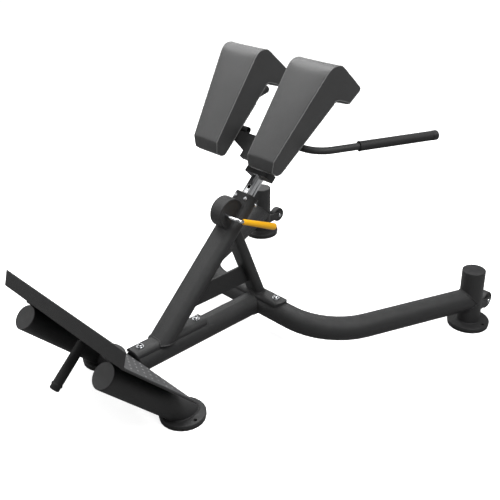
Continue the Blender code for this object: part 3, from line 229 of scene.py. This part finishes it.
def rounded(node, material, edge=0.0008):
    """The CAD piece with its facets shaded smooth and its edges broken, as sprayed or moulded parts are."""
    mesh = frame["nodes"][node].data.copy()
    work = bmesh.new()
    work.from_mesh(mesh)
    bmesh.ops.remove_doubles(work, verts=work.verts, dist=WELD_DISTANCE)
    bmesh.ops.dissolve_limit(work, angle_limit=FLAT_WITHIN, verts=work.verts, edges=work.edges)
    work.to_mesh(mesh)
    work.free()
    mesh.shade_smooth()
    mesh.set_sharp_from_angle(angle=SMOOTH_BELOW)
    made = new_piece(node + "_finish", mesh, material, BODY_OF[node])
    if edge:
        soft = made.modifiers.new("Broken edges", "BEVEL")
        soft.width = edge
        soft.segments = 2
        soft.limit_method = "ANGLE"
        soft.angle_limit = SMOOTH_BELOW
        soft.harden_normals = True
    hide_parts(node)
    return made


SIDES = {"near": -1, "far": 1}
for side in SIDES:
    rounded(f"rear_post_{side}", COAT)
    rounded(f"front_leg_{side}", COAT)
for node in ("rear_cross_tube", "main_beam", "main_post", "brace_tube", "tie_bar", "foot_platform"):
    rounded(node, COAT)
for node in ("post_saddle", "brace_saddle"):
    rounded(node, COAT, 0.0012)
dress(COAT, "front_cross_tube")

# The weld beads: one run of filler along each joint of the frame, rippled where the torch paused, and
# coated over with the rest. The bead at the post's foot follows the round shoulders of its saddle.
TUBE_R = 0.038
BASE_Z = 0.096
CROSS_X = 0.100 - MID_X
FOOT_TOP = 0.018
REAR_POST = (0.618 - MID_X, 0.496)
FRONT_FOOT = (-0.394 - MID_X, 0.194)
SADDLE_R = 0.0443
SADDLE_HALF = 0.0293
SHOULDER_R = 0.016
POST_FOOT_RISE = 0.034
POST_N = 0.3083
POST_HALF_Y = 0.0425
POST_HALF_N = 0.024
BEAD_R = 0.0026
BEAD_RIPPLE = 0.16
BEAD_RIPPLE_STEPS = 4
POST_FOOT_STEPS = 132
RING_STEPS = 120
ARM_CORNER_Y = 0.3016
BEAM_BEAD_FROM = math.radians(150)
BEAM_BEAD_SWEEP = math.radians(240)
BEAM_BEAD_STEPS = 90
SLOPE_OUT = Vector((-math.sqrt(0.5), 0.0, math.sqrt(0.5)))


def on_slope(a, y, n):
    """A point from its place up the slope of the post, across the bench, and out in front of the slope."""
    return Vector(((a - n) * math.sqrt(0.5) - MID_X, y, (a + n) * math.sqrt(0.5)))


def weld(name, points, closed, body="base_frame", radius=BEAD_R):
    """A rippled bead along a line of points."""
    curve = bpy.data.curves.new(name, "CURVE")
    curve.dimensions = "3D"
    curve.bevel_depth = radius
    curve.bevel_resolution = 3
    curve.use_fill_caps = True
    spline = curve.splines.new("POLY")
    spline.points.add(len(points) - 1)
    for index, (point, spot) in enumerate(zip(spline.points, points)):
        point.co = (*spot, 1.0)
        point.radius = 1.0 + BEAD_RIPPLE * math.cos(math.tau * index / BEAD_RIPPLE_STEPS)
    spline.use_cyclic_u = closed
    spline.use_smooth = True
    return new_piece(name, curve, COAT, body)


def stadium_outline(steps):
    """The post's outline in even steps, arcs and flats."""
    flat = 2 * (POST_HALF_Y - POST_HALF_N)
    arc = math.pi * POST_HALF_N
    points = []
    for index in range(steps):
        run = (index / steps) * 2 * (flat + arc)
        side = 1 if run < flat + arc else -1
        run -= 0 if side == 1 else flat + arc
        if run < flat:
            points.append((side * POST_HALF_N, side * (run - flat / 2)))
        else:
            turn = (run - flat) / POST_HALF_N
            across = side * (flat / 2 + math.sin(turn) * POST_HALF_N)
            points.append((side * math.cos(turn) * POST_HALF_N, across))
    return points


post_foot = []
for out, across in stadium_outline(POST_FOOT_STEPS):
    fall = min(max(abs(across) - (SADDLE_HALF - SHOULDER_R), 0.0), SHOULDER_R)
    shoulder = SADDLE_R - SHOULDER_R + math.sqrt(SHOULDER_R**2 - fall**2)
    height = BASE_Z + max(shoulder, POST_FOOT_RISE)
    n = POST_N + out
    post_foot.append(on_slope(height * math.sqrt(2.0) - n, across, n))
weld("post_foot_weld", post_foot, True)

for side, sign in SIDES.items():
    ring = [math.tau * index / RING_STEPS for index in range(RING_STEPS)]
    post = Vector((REAR_POST[0], sign * REAR_POST[1], 0.0))
    weld(
        f"rear_post_foot_weld_{side}",
        [post + Vector((math.cos(t) * TUBE_R, math.sin(t) * TUBE_R, FOOT_TOP)) for t in ring],
        True,
    )
    leg = Vector((FRONT_FOOT[0], sign * FRONT_FOOT[1], FOOT_TOP))
    weld(
        f"front_leg_foot_weld_{side}",
        [leg + Vector((math.cos(t) * TUBE_R * math.sqrt(2.0), math.sin(t) * TUBE_R, 0.0)) for t in ring],
        True,
    )
    corner = Vector((CROSS_X, sign * ARM_CORNER_Y, 0.0))
    inward = (corner - post).normalized()
    level = Vector((-inward.y, inward.x, 0.0))
    arm = []
    for t in ring:
        lift = abs(math.sin(t)) * TUBE_R
        rise = Vector((0.0, 0.0, BASE_Z + math.sin(t) * TUBE_R))
        arm.append(post + inward * lift + level * math.cos(t) * TUBE_R + rise)
    weld(f"arm_weld_{side}", arm, True)

# The beam's bead: the beam's round end meets the round cross tube under the brace's saddle, so the bead
# stops on both sides of the saddle.
beam_joint = []
for index in range(BEAM_BEAD_STEPS + 1):
    t = BEAM_BEAD_FROM + BEAM_BEAD_SWEEP * index / BEAM_BEAD_STEPS
    x = CROSS_X - abs(math.sin(t)) * TUBE_R
    beam_joint.append(Vector((x, math.cos(t) * TUBE_R, BASE_Z + math.sin(t) * TUBE_R)))
weld("beam_weld", beam_joint, False)

# The brace's two beads: the brace is a 60 by 36 mm tube with round corners, welded to its saddle below
# and to the back of the post above.
BRACE_LEAN = math.radians(22.5)
BRACE_FOOT = Vector((0.0925 - MID_X, 0.0, 0.145))
BRACE_HALF = (0.018, 0.030)
BRACE_ROUND = 0.012
BRACE_BEAD_STEPS = 96
BRACE_CORNER_PULL = 3
brace_up = Vector((-math.sin(BRACE_LEAN), 0.0, math.cos(BRACE_LEAN)))
brace_out = Vector((math.cos(BRACE_LEAN), 0.0, math.sin(BRACE_LEAN)))
foot_bead = []
head_bead = []
for index in range(BRACE_BEAD_STEPS):
    turn = math.tau * (index + 0.5) / BRACE_BEAD_STEPS
    reach = Vector((math.cos(turn), math.sin(turn)))
    inner = Vector((BRACE_HALF[0] - BRACE_ROUND, BRACE_HALF[1] - BRACE_ROUND))
    u = math.copysign(inner.x, reach.x) * min(1.0, abs(reach.x) * BRACE_CORNER_PULL) + reach.x * BRACE_ROUND
    y = math.copysign(inner.y, reach.y) * min(1.0, abs(reach.y) * BRACE_CORNER_PULL) + reach.y * BRACE_ROUND
    start = BRACE_FOOT + brace_out * u
    drop = (BASE_Z + SADDLE_R - start.z) / brace_up.z
    foot_bead.append(start + brace_up * drop + Vector((0, y, 0)))
    half = max(abs(y) - (POST_HALF_Y - POST_HALF_N), 0.0)
    wanted = POST_N - math.sqrt(POST_HALF_N**2 - half**2)
    shifted = start + Vector((MID_X, 0.0, 0.0))
    climb = (wanted - shifted.dot(SLOPE_OUT)) / brace_up.dot(SLOPE_OUT)
    head_bead.append(start + brace_up * climb + Vector((0, y, 0)))
weld("brace_foot_weld", foot_bead, True)
weld("brace_head_weld", head_bead, True)

# The feet: 10 mm steel discs on 8 mm rubber discs, with a bolt-down hole through both. The rubber is
# dull and greyed by the floor.
RUBBER_BLACK = (0.017, 0.017, 0.018)
RUBBER_GREYED = (0.060, 0.058, 0.055)


def moulded(name, colour, faded, roughness, grain, depth, dust):
    """Moulded rubber or plastic with a fine spark-eroded texture."""
    made, tree, sockets = blank_material(name, roughness)
    skin = use_group(tree, ORANGE_PEEL, {"Grain": grain, "Mottle": 25.0})
    fall = use_group(tree, SETTLED_DUST, {"Amount": dust, "Patch": 60.0})
    slow = {"Value": skin["Tone"], "From Min": 0.35, "From Max": 0.75, "To Max": 0.5}
    tone = add_node(tree, "MapRange", slow)
    base = blend_colours(tree, colour, faded, tone.outputs["Result"])
    tree.links.new(blend_colours(tree, base, DUST_GREY, fall["Mask"]), sockets["Base Color"])
    vary_roughness(tree, sockets, skin["Height"], roughness - 0.05, roughness + 0.08)
    raise_surface(tree, sockets, skin["Height"], depth)
    return made


FOOT_RUBBER = moulded(
    "foot_rubber", RUBBER_BLACK, RUBBER_GREYED, roughness=0.78, grain=1400.0, depth=0.00015, dust=0.25
)
for side in SIDES:
    for end in ("front", "rear"):
        rounded(f"foot_flange_{end}_{side}", COAT, 0.0006)
        rounded(f"foot_pad_{end}_{side}", FOOT_RUBBER, 0.0008)

# The end caps: black polyethylene plugs pressed into the ends of the tubes, thin outside and matte, with
# their edges just broken.
CAP_TONES = ((0.012, 0.012, 0.013), (0.022, 0.022, 0.023))
CAP_BLACK = moulded("cap_plastic", *CAP_TONES, roughness=0.48, grain=1200.0, depth=0.0002, dust=0.05)
for side in SIDES:
    rounded(f"rear_post_cap_{side}", CAP_BLACK, 0.0006)
    rounded(f"front_leg_cap_{side}", CAP_BLACK, 0.0006)
rounded("beam_end_cap", CAP_BLACK, 0.0006)

# The platform's tread: a grey embossed sheet bonded to the folded plate, with rows of small raised
# studs, coloured a much lighter grey than the sheet as a painted highlight on their tops.
TREAD_TONES = ((0.055, 0.056, 0.058), (0.100, 0.101, 0.103))
TREAD = moulded("tread_sheet", *TREAD_TONES, roughness=0.62, grain=600.0, depth=0.0006, dust=0.10)
rounded("platform_tread", TREAD, 0.0005)
TREAD_A = -0.2135
STUD_R = 0.0028
STUD_H = 0.0016
STUD_PROFILE = ((1.0, 0.0), (0.72, 0.72))
STUD_SINK = 0.0002
STUD_FIRST_N = 0.400
STUD_LAST_N = 0.668
STUD_ROW_COUNT = 7
STUD_STAGGER = 0.25
STUD_HALF_SPAN = 0.270
STUD_PITCH = 0.034
STUD_SIDES = 8
stud_mesh = bpy.data.meshes.new("tread_studs")
work = bmesh.new()
row_step = (STUD_LAST_N - STUD_FIRST_N) / (STUD_ROW_COUNT - 1)
columns = int(2 * STUD_HALF_SPAN / STUD_PITCH)
for row in range(STUD_ROW_COUNT):
    shift = STUD_STAGGER * STUD_PITCH * (1 if row % 2 else -1)
    for column in range(columns):
        y = -STUD_HALF_SPAN + (column + 0.5) * STUD_PITCH + shift
        rings = []
        for radius, rise in STUD_PROFILE:
            ring = []
            for step in range(STUD_SIDES):
                turn = math.tau * step / STUD_SIDES
                n = STUD_FIRST_N + row * row_step + math.cos(turn) * STUD_R * radius
                across = y + math.sin(turn) * STUD_R * radius
                ring.append(work.verts.new(on_slope(TREAD_A + STUD_H * rise - STUD_SINK, across, n)))
            rings.append(ring)
        top = work.verts.new(on_slope(TREAD_A + STUD_H, y, STUD_FIRST_N + row * row_step))
        for step in range(STUD_SIDES):
            after = (step + 1) % STUD_SIDES
            work.faces.new((rings[0][step], rings[0][after], rings[1][after], rings[1][step]))
            work.faces.new((rings[1][step], rings[1][after], top))
        work.faces.new(reversed(rings[0]))
bmesh.ops.recalc_face_normals(work, faces=work.faces)
work.to_mesh(stud_mesh)
work.free()
stud_mesh.shade_smooth()
# The studs' light grey is a painted highlight on their raised tops, not a colour of their own.
STUD_HIGHLIGHT_TONES = ((0.30, 0.30, 0.30), (0.42, 0.42, 0.42))
STUD_HIGHLIGHT_GREY = moulded("stud_painted_highlight", *STUD_HIGHLIGHT_TONES, roughness=0.40, grain=900.0, depth=0.0001, dust=0.1)
new_piece("tread_studs", stud_mesh, STUD_HIGHLIGHT_GREY, "base_frame")

# The lift handle: a short coated tube on a round plate under the platform, with a rubber sleeve that has
# one raised bead near its end.
GRIP_TONES = ((0.008, 0.008, 0.0083), (0.016, 0.016, 0.0165))
GRIP_BLACK = moulded("grip_rubber", *GRIP_TONES, roughness=0.66, grain=700.0, depth=0.0005, dust=0.02)
rounded("lift_handle_tube", COAT, 0.0006)
rounded("lift_handle_grip", GRIP_BLACK, 0.0006)

# The bolts and screws: bright zinc, lightly brushed by the socket key, with painted shade in the hex sockets.
ZINC_BRIGHT = (0.68, 0.69, 0.70)
ZINC_DULL = (0.42, 0.43, 0.45)
PLATE_DEPTH = 0.00003


def plated(name, bright, dull, roughness, spread, streaks):
    """Bright plated steel with cloudy patches and fine rub marks."""
    made, tree, sockets = blank_material(name, roughness, Metallic=1.0)
    cloud = use_group(tree, ORANGE_PEEL, {"Grain": 2000.0, "Mottle": 60.0})
    marks = use_group(tree, SCUFFS, {"Amount": streaks, "Size": 160.0})
    base = blend_colours(tree, bright, dull, cloud["Tone"])
    tree.links.new(blend_colours(tree, base, dull, marks["Mask"]), sockets["Base Color"])
    vary_roughness(tree, sockets, cloud["Tone"], roughness - spread, roughness + spread)
    raise_surface(tree, sockets, cloud["Height"], PLATE_DEPTH)
    return made


ZINC = plated("bright_zinc", ZINC_BRIGHT, ZINC_DULL, roughness=0.26, spread=0.06, streaks=0.4)
# Near-black painted shade for the faces inside each hex socket, standing in for the shade in the recess.
SOCKET_SHADE_TONES = ((0.006, 0.006, 0.007), (0.014, 0.013, 0.012))
SOCKET_PAINTED_SHADE = moulded("socket_painted_shade", *SOCKET_SHADE_TONES, roughness=0.5, grain=1200.0, depth=0.00004, dust=0.0)
SOCKET_R = 0.0052
SOCKET_FROM = 0.0002
SOCKET_TO = 0.005
SADDLE_BOLTS = (
    "post_saddle_bolt_front",
    "post_saddle_bolt_rear",
    "brace_saddle_bolt_near",
    "brace_saddle_bolt_far",
)
for name in SADDLE_BOLTS:
    bolt = rounded(name, ZINC, 0.0003)
    bolt.data.materials.append(SOCKET_PAINTED_SHADE)
    bolt_low, bolt_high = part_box(name)
    middle = Vector(((bolt_low[0] + bolt_high[0]) / 2, (bolt_low[1] + bolt_high[1]) / 2))
    # Faces inside the socket take the painted shade.
    for face in bolt.data.polygons:
        reach = (face.center.xy - middle).length
        if reach < SOCKET_R and bolt_high[2] - SOCKET_TO < face.center.z < bolt_high[2] - SOCKET_FROM:
            face.material_index = 1
for side in SIDES:
    rounded(f"wheel_axle_{side}", ZINC, 0.0003)
for key in ("front_near", "front_far", "side_near"):
    rounded(f"guide_bolt_{key}", ZINC, 0.0)
dress(ZINC, "lock_crank")

# The transport wheels: hard black rubber on a steel fork behind each rear post, clear of the floor
# until the front is lifted.
WHEEL_TONES = ((0.015, 0.015, 0.016), (0.040, 0.039, 0.038))
WHEEL_BLACK = moulded("wheel_rubber", *WHEEL_TONES, roughness=0.6, grain=900.0, depth=0.0002, dust=0.1)
for side in SIDES:
    rounded(f"wheel_bracket_{side}", COAT, 0.0008)
    rounded(f"wheel_{side}", WHEEL_BLACK, 0.0008)

# The guide sleeve and the lock housing: a black plastic collar in the top of the post, and the coated
# steel drum welded across its front that hides the lock pin.
SLEEVE_TONES = ((0.021, 0.021, 0.022), (0.038, 0.038, 0.039))
SLEEVE_BLACK = moulded("sleeve_plastic", *SLEEVE_TONES, roughness=0.44, grain=1500.0, depth=0.00006, dust=0.1)
rounded("guide_sleeve", SLEEVE_BLACK, 0.0006)
rounded("lock_housing", COAT, 0.0008)

# The sliding inner post, the lever's rod and the lock pin: hard chrome, with the fine rub marks that
# sliding leaves.
CHROME_TONES = ((0.78, 0.79, 0.80), (0.60, 0.61, 0.63))
CHROME = plated("hard_chrome", *CHROME_TONES, roughness=0.10, spread=0.04, streaks=0.25)
rounded("inner_post", CHROME, 0.0004)
rounded("lever_rod", CHROME, 0.0)
dress(CHROME, "lock_pin")

# The lever's grip: amber yellow moulded plastic, a little flattened and pushed over the rod, clean and
# evenly coloured.
AMBER_TONES = ((1.0, 0.49, 0.004), (1.0, 0.53, 0.008))
GRIP_AMBER = moulded("amber_grip", *AMBER_TONES, roughness=0.42, grain=1600.0, depth=0.00006, dust=0.0)
rounded("lever_grip", GRIP_AMBER, 0.0005)

# The carriage: a coated steel head with a spread plate behind the pads, and a bent handle on each side
# with a rubber sleeve and an end plug.
rounded("pad_yoke", COAT, 0.0015)
for side in SIDES:
    rounded(f"handle_bar_{side}", COAT, 0.0006)
    rounded(f"handle_grip_{side}", GRIP_BLACK, 0.0006)
    rounded(f"handle_cap_{side}", CAP_BLACK, 0.0008)

# The pad boards: black-stained plywood behind each cushion, with a stretched grain that shows faintly
# through the stain.
PLY_DARK = (0.018, 0.016, 0.015)
PLY_LIGHT = (0.065, 0.050, 0.038)
PLY_DEPTH = 0.0002
made, tree, sockets = blank_material("stained_plywood", 0.7)
here = add_node(tree, "TexCoord").outputs["Object"]
along = add_node(tree, "Mapping", {"Vector": here, "Scale": (1.0, 14.0, 1.0), "Rotation": (0.0, 0.785, 0.0)})
streaks = {"Vector": along.outputs[0], "Scale": 34.0, "Detail": 6.0, "Roughness": 0.65}
figure = add_node(tree, "TexNoise", streaks)
tint = add_node(tree, "MapRange", {"Value": figure.outputs["Fac"], "From Min": 0.35, "From Max": 0.7})
tree.links.new(blend_colours(tree, PLY_DARK, PLY_LIGHT, tint.outputs["Result"]), sockets["Base Color"])
raise_surface(tree, sockets, figure.outputs["Fac"], PLY_DEPTH)
STAINED_PLY = made
for side in SIDES:
    rounded(f"pad_board_{side}", STAINED_PLY, 0.0008)

# The thigh pads: firm foam under fine-grained black vinyl. One long strip wraps from the foot over the
# face and the top to the back, and a flat panel closes each side, sewn to it with a narrow welt. The welt
# is coloured light grey as a painted highlight along the sewn edge.
FACE_FOOT = Vector((-0.015 - MID_X, 0.0, 0.658))
FACE_LEAN = math.radians(35.6)
FOLD_UP = 0.010
PAD_BACK_N = 0.4105
PAD_INNER_Y = 0.0645
PAD_OUTER_Y = 0.174
VINYL_BLACK = (0.037, 0.0373, 0.0378)
VINYL_LIT = (0.050, 0.0503, 0.0508)
VINYL_DEPTH = 0.0009
VINYL_BUMP = 0.8
# The welt's light grey tones are a painted highlight along the sewn edge, far lighter than the black vinyl.
WELT_HIGHLIGHT_TONES = ((0.130, 0.1303, 0.131), (0.160, 0.1603, 0.161))


def vinyl(name, colour, lit, roughness):
    """Upholstery vinyl: a leather grain of small cells, with softer creases between them."""
    made, tree, sockets = blank_material(
        name, roughness, Specular_IOR_Level=0.5, Sheen_Weight=0.05, Sheen_Roughness=0.45
    )
    here = add_node(tree, "TexCoord").outputs["Object"]
    cells = add_node(tree, "TexVoronoi", {"Vector": here, "Scale": 620.0, "Randomness": 0.9}, feature="F1")
    crease = add_node(tree, "TexNoise", {"Vector": here, "Scale": 240.0, "Detail": 5.0, "Roughness": 0.6})
    factors = {0: cells.outputs["Distance"], 1: crease.outputs["Fac"]}
    height = add_node(tree, "Math", factors, operation="MULTIPLY")
    skin = use_group(tree, ORANGE_PEEL, {"Grain": 500.0, "Mottle": 9.0})
    fall = use_group(tree, SETTLED_DUST, {"Amount": 0.03, "Patch": 55.0})
    slow = {"Value": skin["Tone"], "From Min": 0.35, "From Max": 0.7, "To Max": 0.5}
    tone = add_node(tree, "MapRange", slow)
    base = blend_colours(tree, colour, lit, tone.outputs["Result"])
    tree.links.new(blend_colours(tree, base, DUST_GREY, fall["Mask"]), sockets["Base Color"])
    raise_surface(tree, sockets, height.outputs[0], VINYL_DEPTH, VINYL_BUMP)
    return made


PAD_VINYL = vinyl("pad_vinyl", VINYL_BLACK, VINYL_LIT, roughness=0.42)
WELT_HIGHLIGHT_VINYL = vinyl("welt_painted_highlight", *WELT_HIGHLIGHT_TONES, roughness=0.38)
PAD_EDGE_R = 0.005
PAD_SHRINK = 0.0022
PAD_VOXEL = 0.0046
PAD_PRESSURE = 4.0
PAD_CAP = 0.0050
PAD_FRAMES = 20
BOARD_GAP = 0.0003
BOARD_TOP_A = 0.70
FOLD_STEPS = 32
SEWN_REACH = 0.0068
WELT_R = 0.0016
WELT_STEP = 0.004


def sewn_edge(mesh, facing):
    """Points close together along the edge between the strip and a side panel, in the middle of its roll."""
    work = bmesh.new()
    work.from_mesh(mesh)
    bmesh.ops.remove_doubles(work, verts=work.verts, dist=WELD_DISTANCE)
    flank = [face for face in work.faces if face.normal.y * facing > 0.9]
    panel = max(flank, key=lambda face: face.calc_area())
    normal = panel.normal.copy()
    faces = {face for face in work.faces if face.normal.dot(normal) > 0.9995}
    rim = set()
    for face in faces:
        rim.update(edge for edge in face.edges if sum(other in faces for other in edge.link_faces) == 1)
    edge = min(rim, key=lambda item: item.index)
    corner = edge.verts[0]
    loop = []
    while rim:
        rim.discard(edge)
        loop.append(corner.co.copy())
        corner = edge.other_vert(corner)
        edge = next((item for item in corner.link_edges if item in rim), None)
        if edge is None:
            break
    work.free()
    middle = sum(loop, Vector()) / len(loop)
    points = []
    for index, here in enumerate(loop):
        before = loop[index - 1]
        after = loop[(index + 1) % len(loop)]
        out = (after - before).cross(normal).normalized()
        ahead = (loop[(index + 2) % len(loop)] - here).cross(normal).normalized()
        if out.dot(here - middle) < 0:
            out.negate()
        if ahead.dot(after - middle) < 0:
            ahead.negate()
        steps = max(1, round((after - here).length / WELT_STEP))
        for step in range(steps):
            share = step / steps
            roll = out.lerp(ahead, share).normalized() * math.sqrt(0.5) - normal * (1 - math.sqrt(0.5))
            points.append(here.lerp(after, share) + roll * PAD_EDGE_R)
    return points


def plump(node, name, sewn):
    """The cushion blown up in its cover by a short cloth run, held where it is sewn and flat on its board."""
    mesh = frame["nodes"][node].data.copy()
    cover = BVHTree.FromObject(frame["nodes"][node], bpy.context.evaluated_depsgraph_get())
    pad = bpy.data.objects.new(name, mesh)
    bpy.context.scene.collection.objects.link(pad)
    skin = pad.modifiers.new("Skin", "REMESH")
    skin.mode = "VOXEL"
    skin.voxel_size = PAD_VOXEL
    graph = bpy.context.evaluated_depsgraph_get()
    pad.data = bpy.data.meshes.new_from_object(pad.evaluated_get(graph))
    pad.modifiers.clear()
    near = KDTree(len(sewn))
    for index, spot in enumerate(sewn):
        near.insert(spot, index)
    near.balance()
    held = pad.vertex_groups.new(name="sewn")
    for vertex in pad.data.vertices:
        if near.find(vertex.co)[2] < SEWN_REACH:
            held.add([vertex.index], 1.0, "REPLACE")
        spot, normal = cover.find_nearest(vertex.co)[:2]
        vertex.co = spot - normal * PAD_SHRINK
    rest = [vertex.co.copy() for vertex in pad.data.vertices]
    moved = rest
    cloth = pad.modifiers.new("Foam", "CLOTH")
    cloth.settings.use_pressure = True
    cloth.settings.uniform_pressure_force = PAD_PRESSURE
    cloth.settings.effector_weights.gravity = 0.0
    cloth.settings.vertex_group_mass = held.name
    cloth.point_cache.frame_start = 1
    cloth.point_cache.frame_end = PAD_FRAMES
    for number in range(1, PAD_FRAMES + 1):
        bpy.context.scene.frame_set(number)
    graph = bpy.context.evaluated_depsgraph_get()
    blown = pad.evaluated_get(graph).to_mesh()
    moved = [vertex.co.copy() for vertex in blown.vertices]
    pad.modifiers.clear()
    bpy.context.scene.frame_set(1)
    for vertex, start, end in zip(pad.data.vertices, rest, moved):
        step = end - start
        if step.length > PAD_CAP:
            step *= PAD_CAP / step.length
        spot = start + step
        behind = PAD_BACK_N + BOARD_GAP - (spot + Vector((MID_X, 0.0, 0.0))).dot(SLOPE_OUT)
        if behind > 0 and spot.z + spot.x + MID_X < BOARD_TOP_A * math.sqrt(2.0):
            spot += SLOPE_OUT * behind
        vertex.co = spot
    pad.data.shade_smooth()
    even = pad.modifiers.new("Even", "SMOOTH")
    even.factor = 0.5
    even.iterations = 2
    fine = pad.modifiers.new("Fine", "SUBSURF")
    fine.levels = 1
    fine.render_levels = 1
    return pad


def welt(name, pad, points):
    """The narrow welt along a sewn edge, laid onto the cushion, in a light grey that is a painted highlight.
    """
    tree = BVHTree.FromObject(pad, bpy.context.evaluated_depsgraph_get())
    curve = bpy.data.curves.new(name, "CURVE")
    curve.dimensions = "3D"
    curve.bevel_depth = WELT_R
    curve.bevel_resolution = 2
    spline = curve.splines.new("POLY")
    spline.points.add(len(points) - 1)
    for point, spot in zip(spline.points, points):
        point.co = (*tree.find_nearest(spot)[0], 1.0)
    spline.use_cyclic_u = True
    spline.use_smooth = True
    return new_piece(name, curve, WELT_HIGHLIGHT_VINYL, "carriage")


for side, sign in SIDES.items():
    node = f"thigh_pad_{side}"
    outer = sewn_edge(frame["nodes"][node].data, sign)
    inner = sewn_edge(frame["nodes"][node].data, -sign)
    fold = []
    for step in range(FOLD_STEPS + 1):
        across = PAD_INNER_Y + (PAD_OUTER_Y - PAD_INNER_Y) * step / FOLD_STEPS
        rise = Vector((math.sin(FACE_LEAN) * FOLD_UP, sign * across, math.cos(FACE_LEAN) * FOLD_UP))
        fold.append(FACE_FOOT + rise)
    pad = plump(node, f"{node}_cushion", outer + inner + fold)
    pad.data.materials.clear()
    pad.data.materials.append(PAD_VINYL)
    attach(pad, "carriage")
    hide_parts(node)
    welt(f"{node}_outer_welt", pad, outer)
    welt(f"{node}_inner_welt", pad, inner)

# The studio: a wide pale floor and air, which the camera sees paler than they light the bench, so that
# the ground is near white and the coat stays dark. Four soft boxes hang above, in front, behind and on
# the near side.
FLOOR_HALF = 14.0
FLOOR_BOUNCE = (0.26, 0.26, 0.26)
FLOOR_GLOW = (0.80, 0.80, 0.80)
AIR_GLOW = (0.25, 0.25, 0.25)
AIR_SEEN = (0.97, 0.97, 0.97)
PAPER_DARK = (0.86, 0.86, 0.86)
PAPER_LIGHT = (0.90, 0.90, 0.90)
NO_GLOW = (0.0, 0.0, 0.0)
floor_mesh = bpy.data.meshes.new("floor")
corners = [(x * FLOOR_HALF, y * FLOOR_HALF, 0.0) for x, y in ((-1, -1), (1, -1), (1, 1), (-1, 1))]
floor_mesh.from_pydata(corners, [], [(0, 1, 2, 3)])
floor = bpy.data.objects.new("floor", floor_mesh)
bpy.context.scene.collection.objects.link(floor)
made, tree, sockets = blank_material("pale_floor", 0.85)
here = add_node(tree, "TexCoord").outputs["Object"]
grain = add_node(tree, "TexNoise", {"Vector": here, "Scale": 3.0, "Detail": 3.0})
paper = blend_colours(tree, PAPER_DARK, PAPER_LIGHT, grain.outputs["Fac"])
seen = add_node(tree, "LightPath").outputs["Is Camera Ray"]
tree.links.new(blend_colours(tree, FLOOR_BOUNCE, paper, seen), sockets["Base Color"])
tree.links.new(blend_colours(tree, NO_GLOW, FLOOR_GLOW, seen), sockets["Emission Color"])
sockets["Emission Strength"].default_value = 1.0
floor_mesh.materials.append(made)

world = bpy.data.worlds.new("studio_air")
world.use_nodes = True
seen = add_node(world.node_tree, "LightPath").outputs["Is Camera Ray"]
air = blend_colours(world.node_tree, AIR_GLOW, AIR_SEEN, seen)
world.node_tree.links.new(air, world.node_tree.nodes["Background"].inputs["Color"])
world.node_tree.nodes["Background"].inputs["Strength"].default_value = 1.0
bpy.context.scene.world = world
bpy.context.scene.view_settings.view_transform = "Standard"

# Each soft box: where it hangs, where it aims, the length of its side and its power.
SOFT_BOXES = {
    "top_box": ((0.35, 1.3, 3.0), (0.0, 0.0, 0.45), 2.2, 95.0),
    "front_box": ((-1.9, 2.0, 1.9), (0.0, 0.0, 0.7), 1.5, 22.0),
    "back_box": ((2.2, 2.2, 1.5), (0.0, 0.0, 0.4), 1.3, 10.0),
    "near_box": ((-0.1, -1.8, 3.0), (0.0, 0.0, 0.4), 1.8, 84.0),
}
for name, (spot, aim, size, power) in SOFT_BOXES.items():
    light = bpy.data.lights.new(name, "AREA")
    light.shape = "SQUARE"
    light.size = size
    light.energy = power
    lamp = bpy.data.objects.new(name, light)
    lamp.location = spot
    lamp.rotation_euler = (Vector(aim) - Vector(spot)).to_track_quat("-Z", "Y").to_euler()
    bpy.context.scene.collection.objects.link(lamp)

# The camera: a long lens in front of the bench on the lever's side, a little above it. Its place, turn
# and focal length were solved from the bench's own parallel edges.
CAMERA_AZIMUTH = math.radians(-43.0316)
CAMERA_ELEVATION = math.radians(24.6466)
CAMERA_ROLL = math.radians(-0.7697)
CAMERA_DISTANCE = 2.45135
CAMERA_AIM = Vector((-MID_X, 0.0, 0.45))
FOCAL_PIXELS = 788.869
IMAGE_SIDE = 500
OPTICAL_CENTRE = (234.329, 213.157)
SENSOR_WIDTH = 36.0
back = Vector(
    (
        math.sin(CAMERA_AZIMUTH) * math.cos(CAMERA_ELEVATION),
        -math.cos(CAMERA_AZIMUTH) * math.cos(CAMERA_ELEVATION),
        math.sin(CAMERA_ELEVATION),
    )
)
level_right = (-back).cross(Vector((0.0, 0.0, 1.0))).normalized()
level_up = level_right.cross(-back)
right = level_right * math.cos(CAMERA_ROLL) + level_up * math.sin(CAMERA_ROLL)
up = level_up * math.cos(CAMERA_ROLL) - level_right * math.sin(CAMERA_ROLL)
lens = bpy.data.cameras.new("photo_camera")
lens.sensor_width = SENSOR_WIDTH
lens.lens = FOCAL_PIXELS * SENSOR_WIDTH / IMAGE_SIDE
lens.shift_x = (IMAGE_SIDE / 2 - OPTICAL_CENTRE[0]) / IMAGE_SIDE
lens.shift_y = (OPTICAL_CENTRE[1] - IMAGE_SIDE / 2) / IMAGE_SIDE
lens.clip_start = 0.05
camera = bpy.data.objects.new("photo_camera", lens)
facing = Matrix((right, up, back)).transposed().to_4x4()
camera.matrix_world = Matrix.Translation(CAMERA_AIM + back * CAMERA_DISTANCE) @ facing
bpy.context.scene.collection.objects.link(camera)
bpy.context.scene.camera = camera
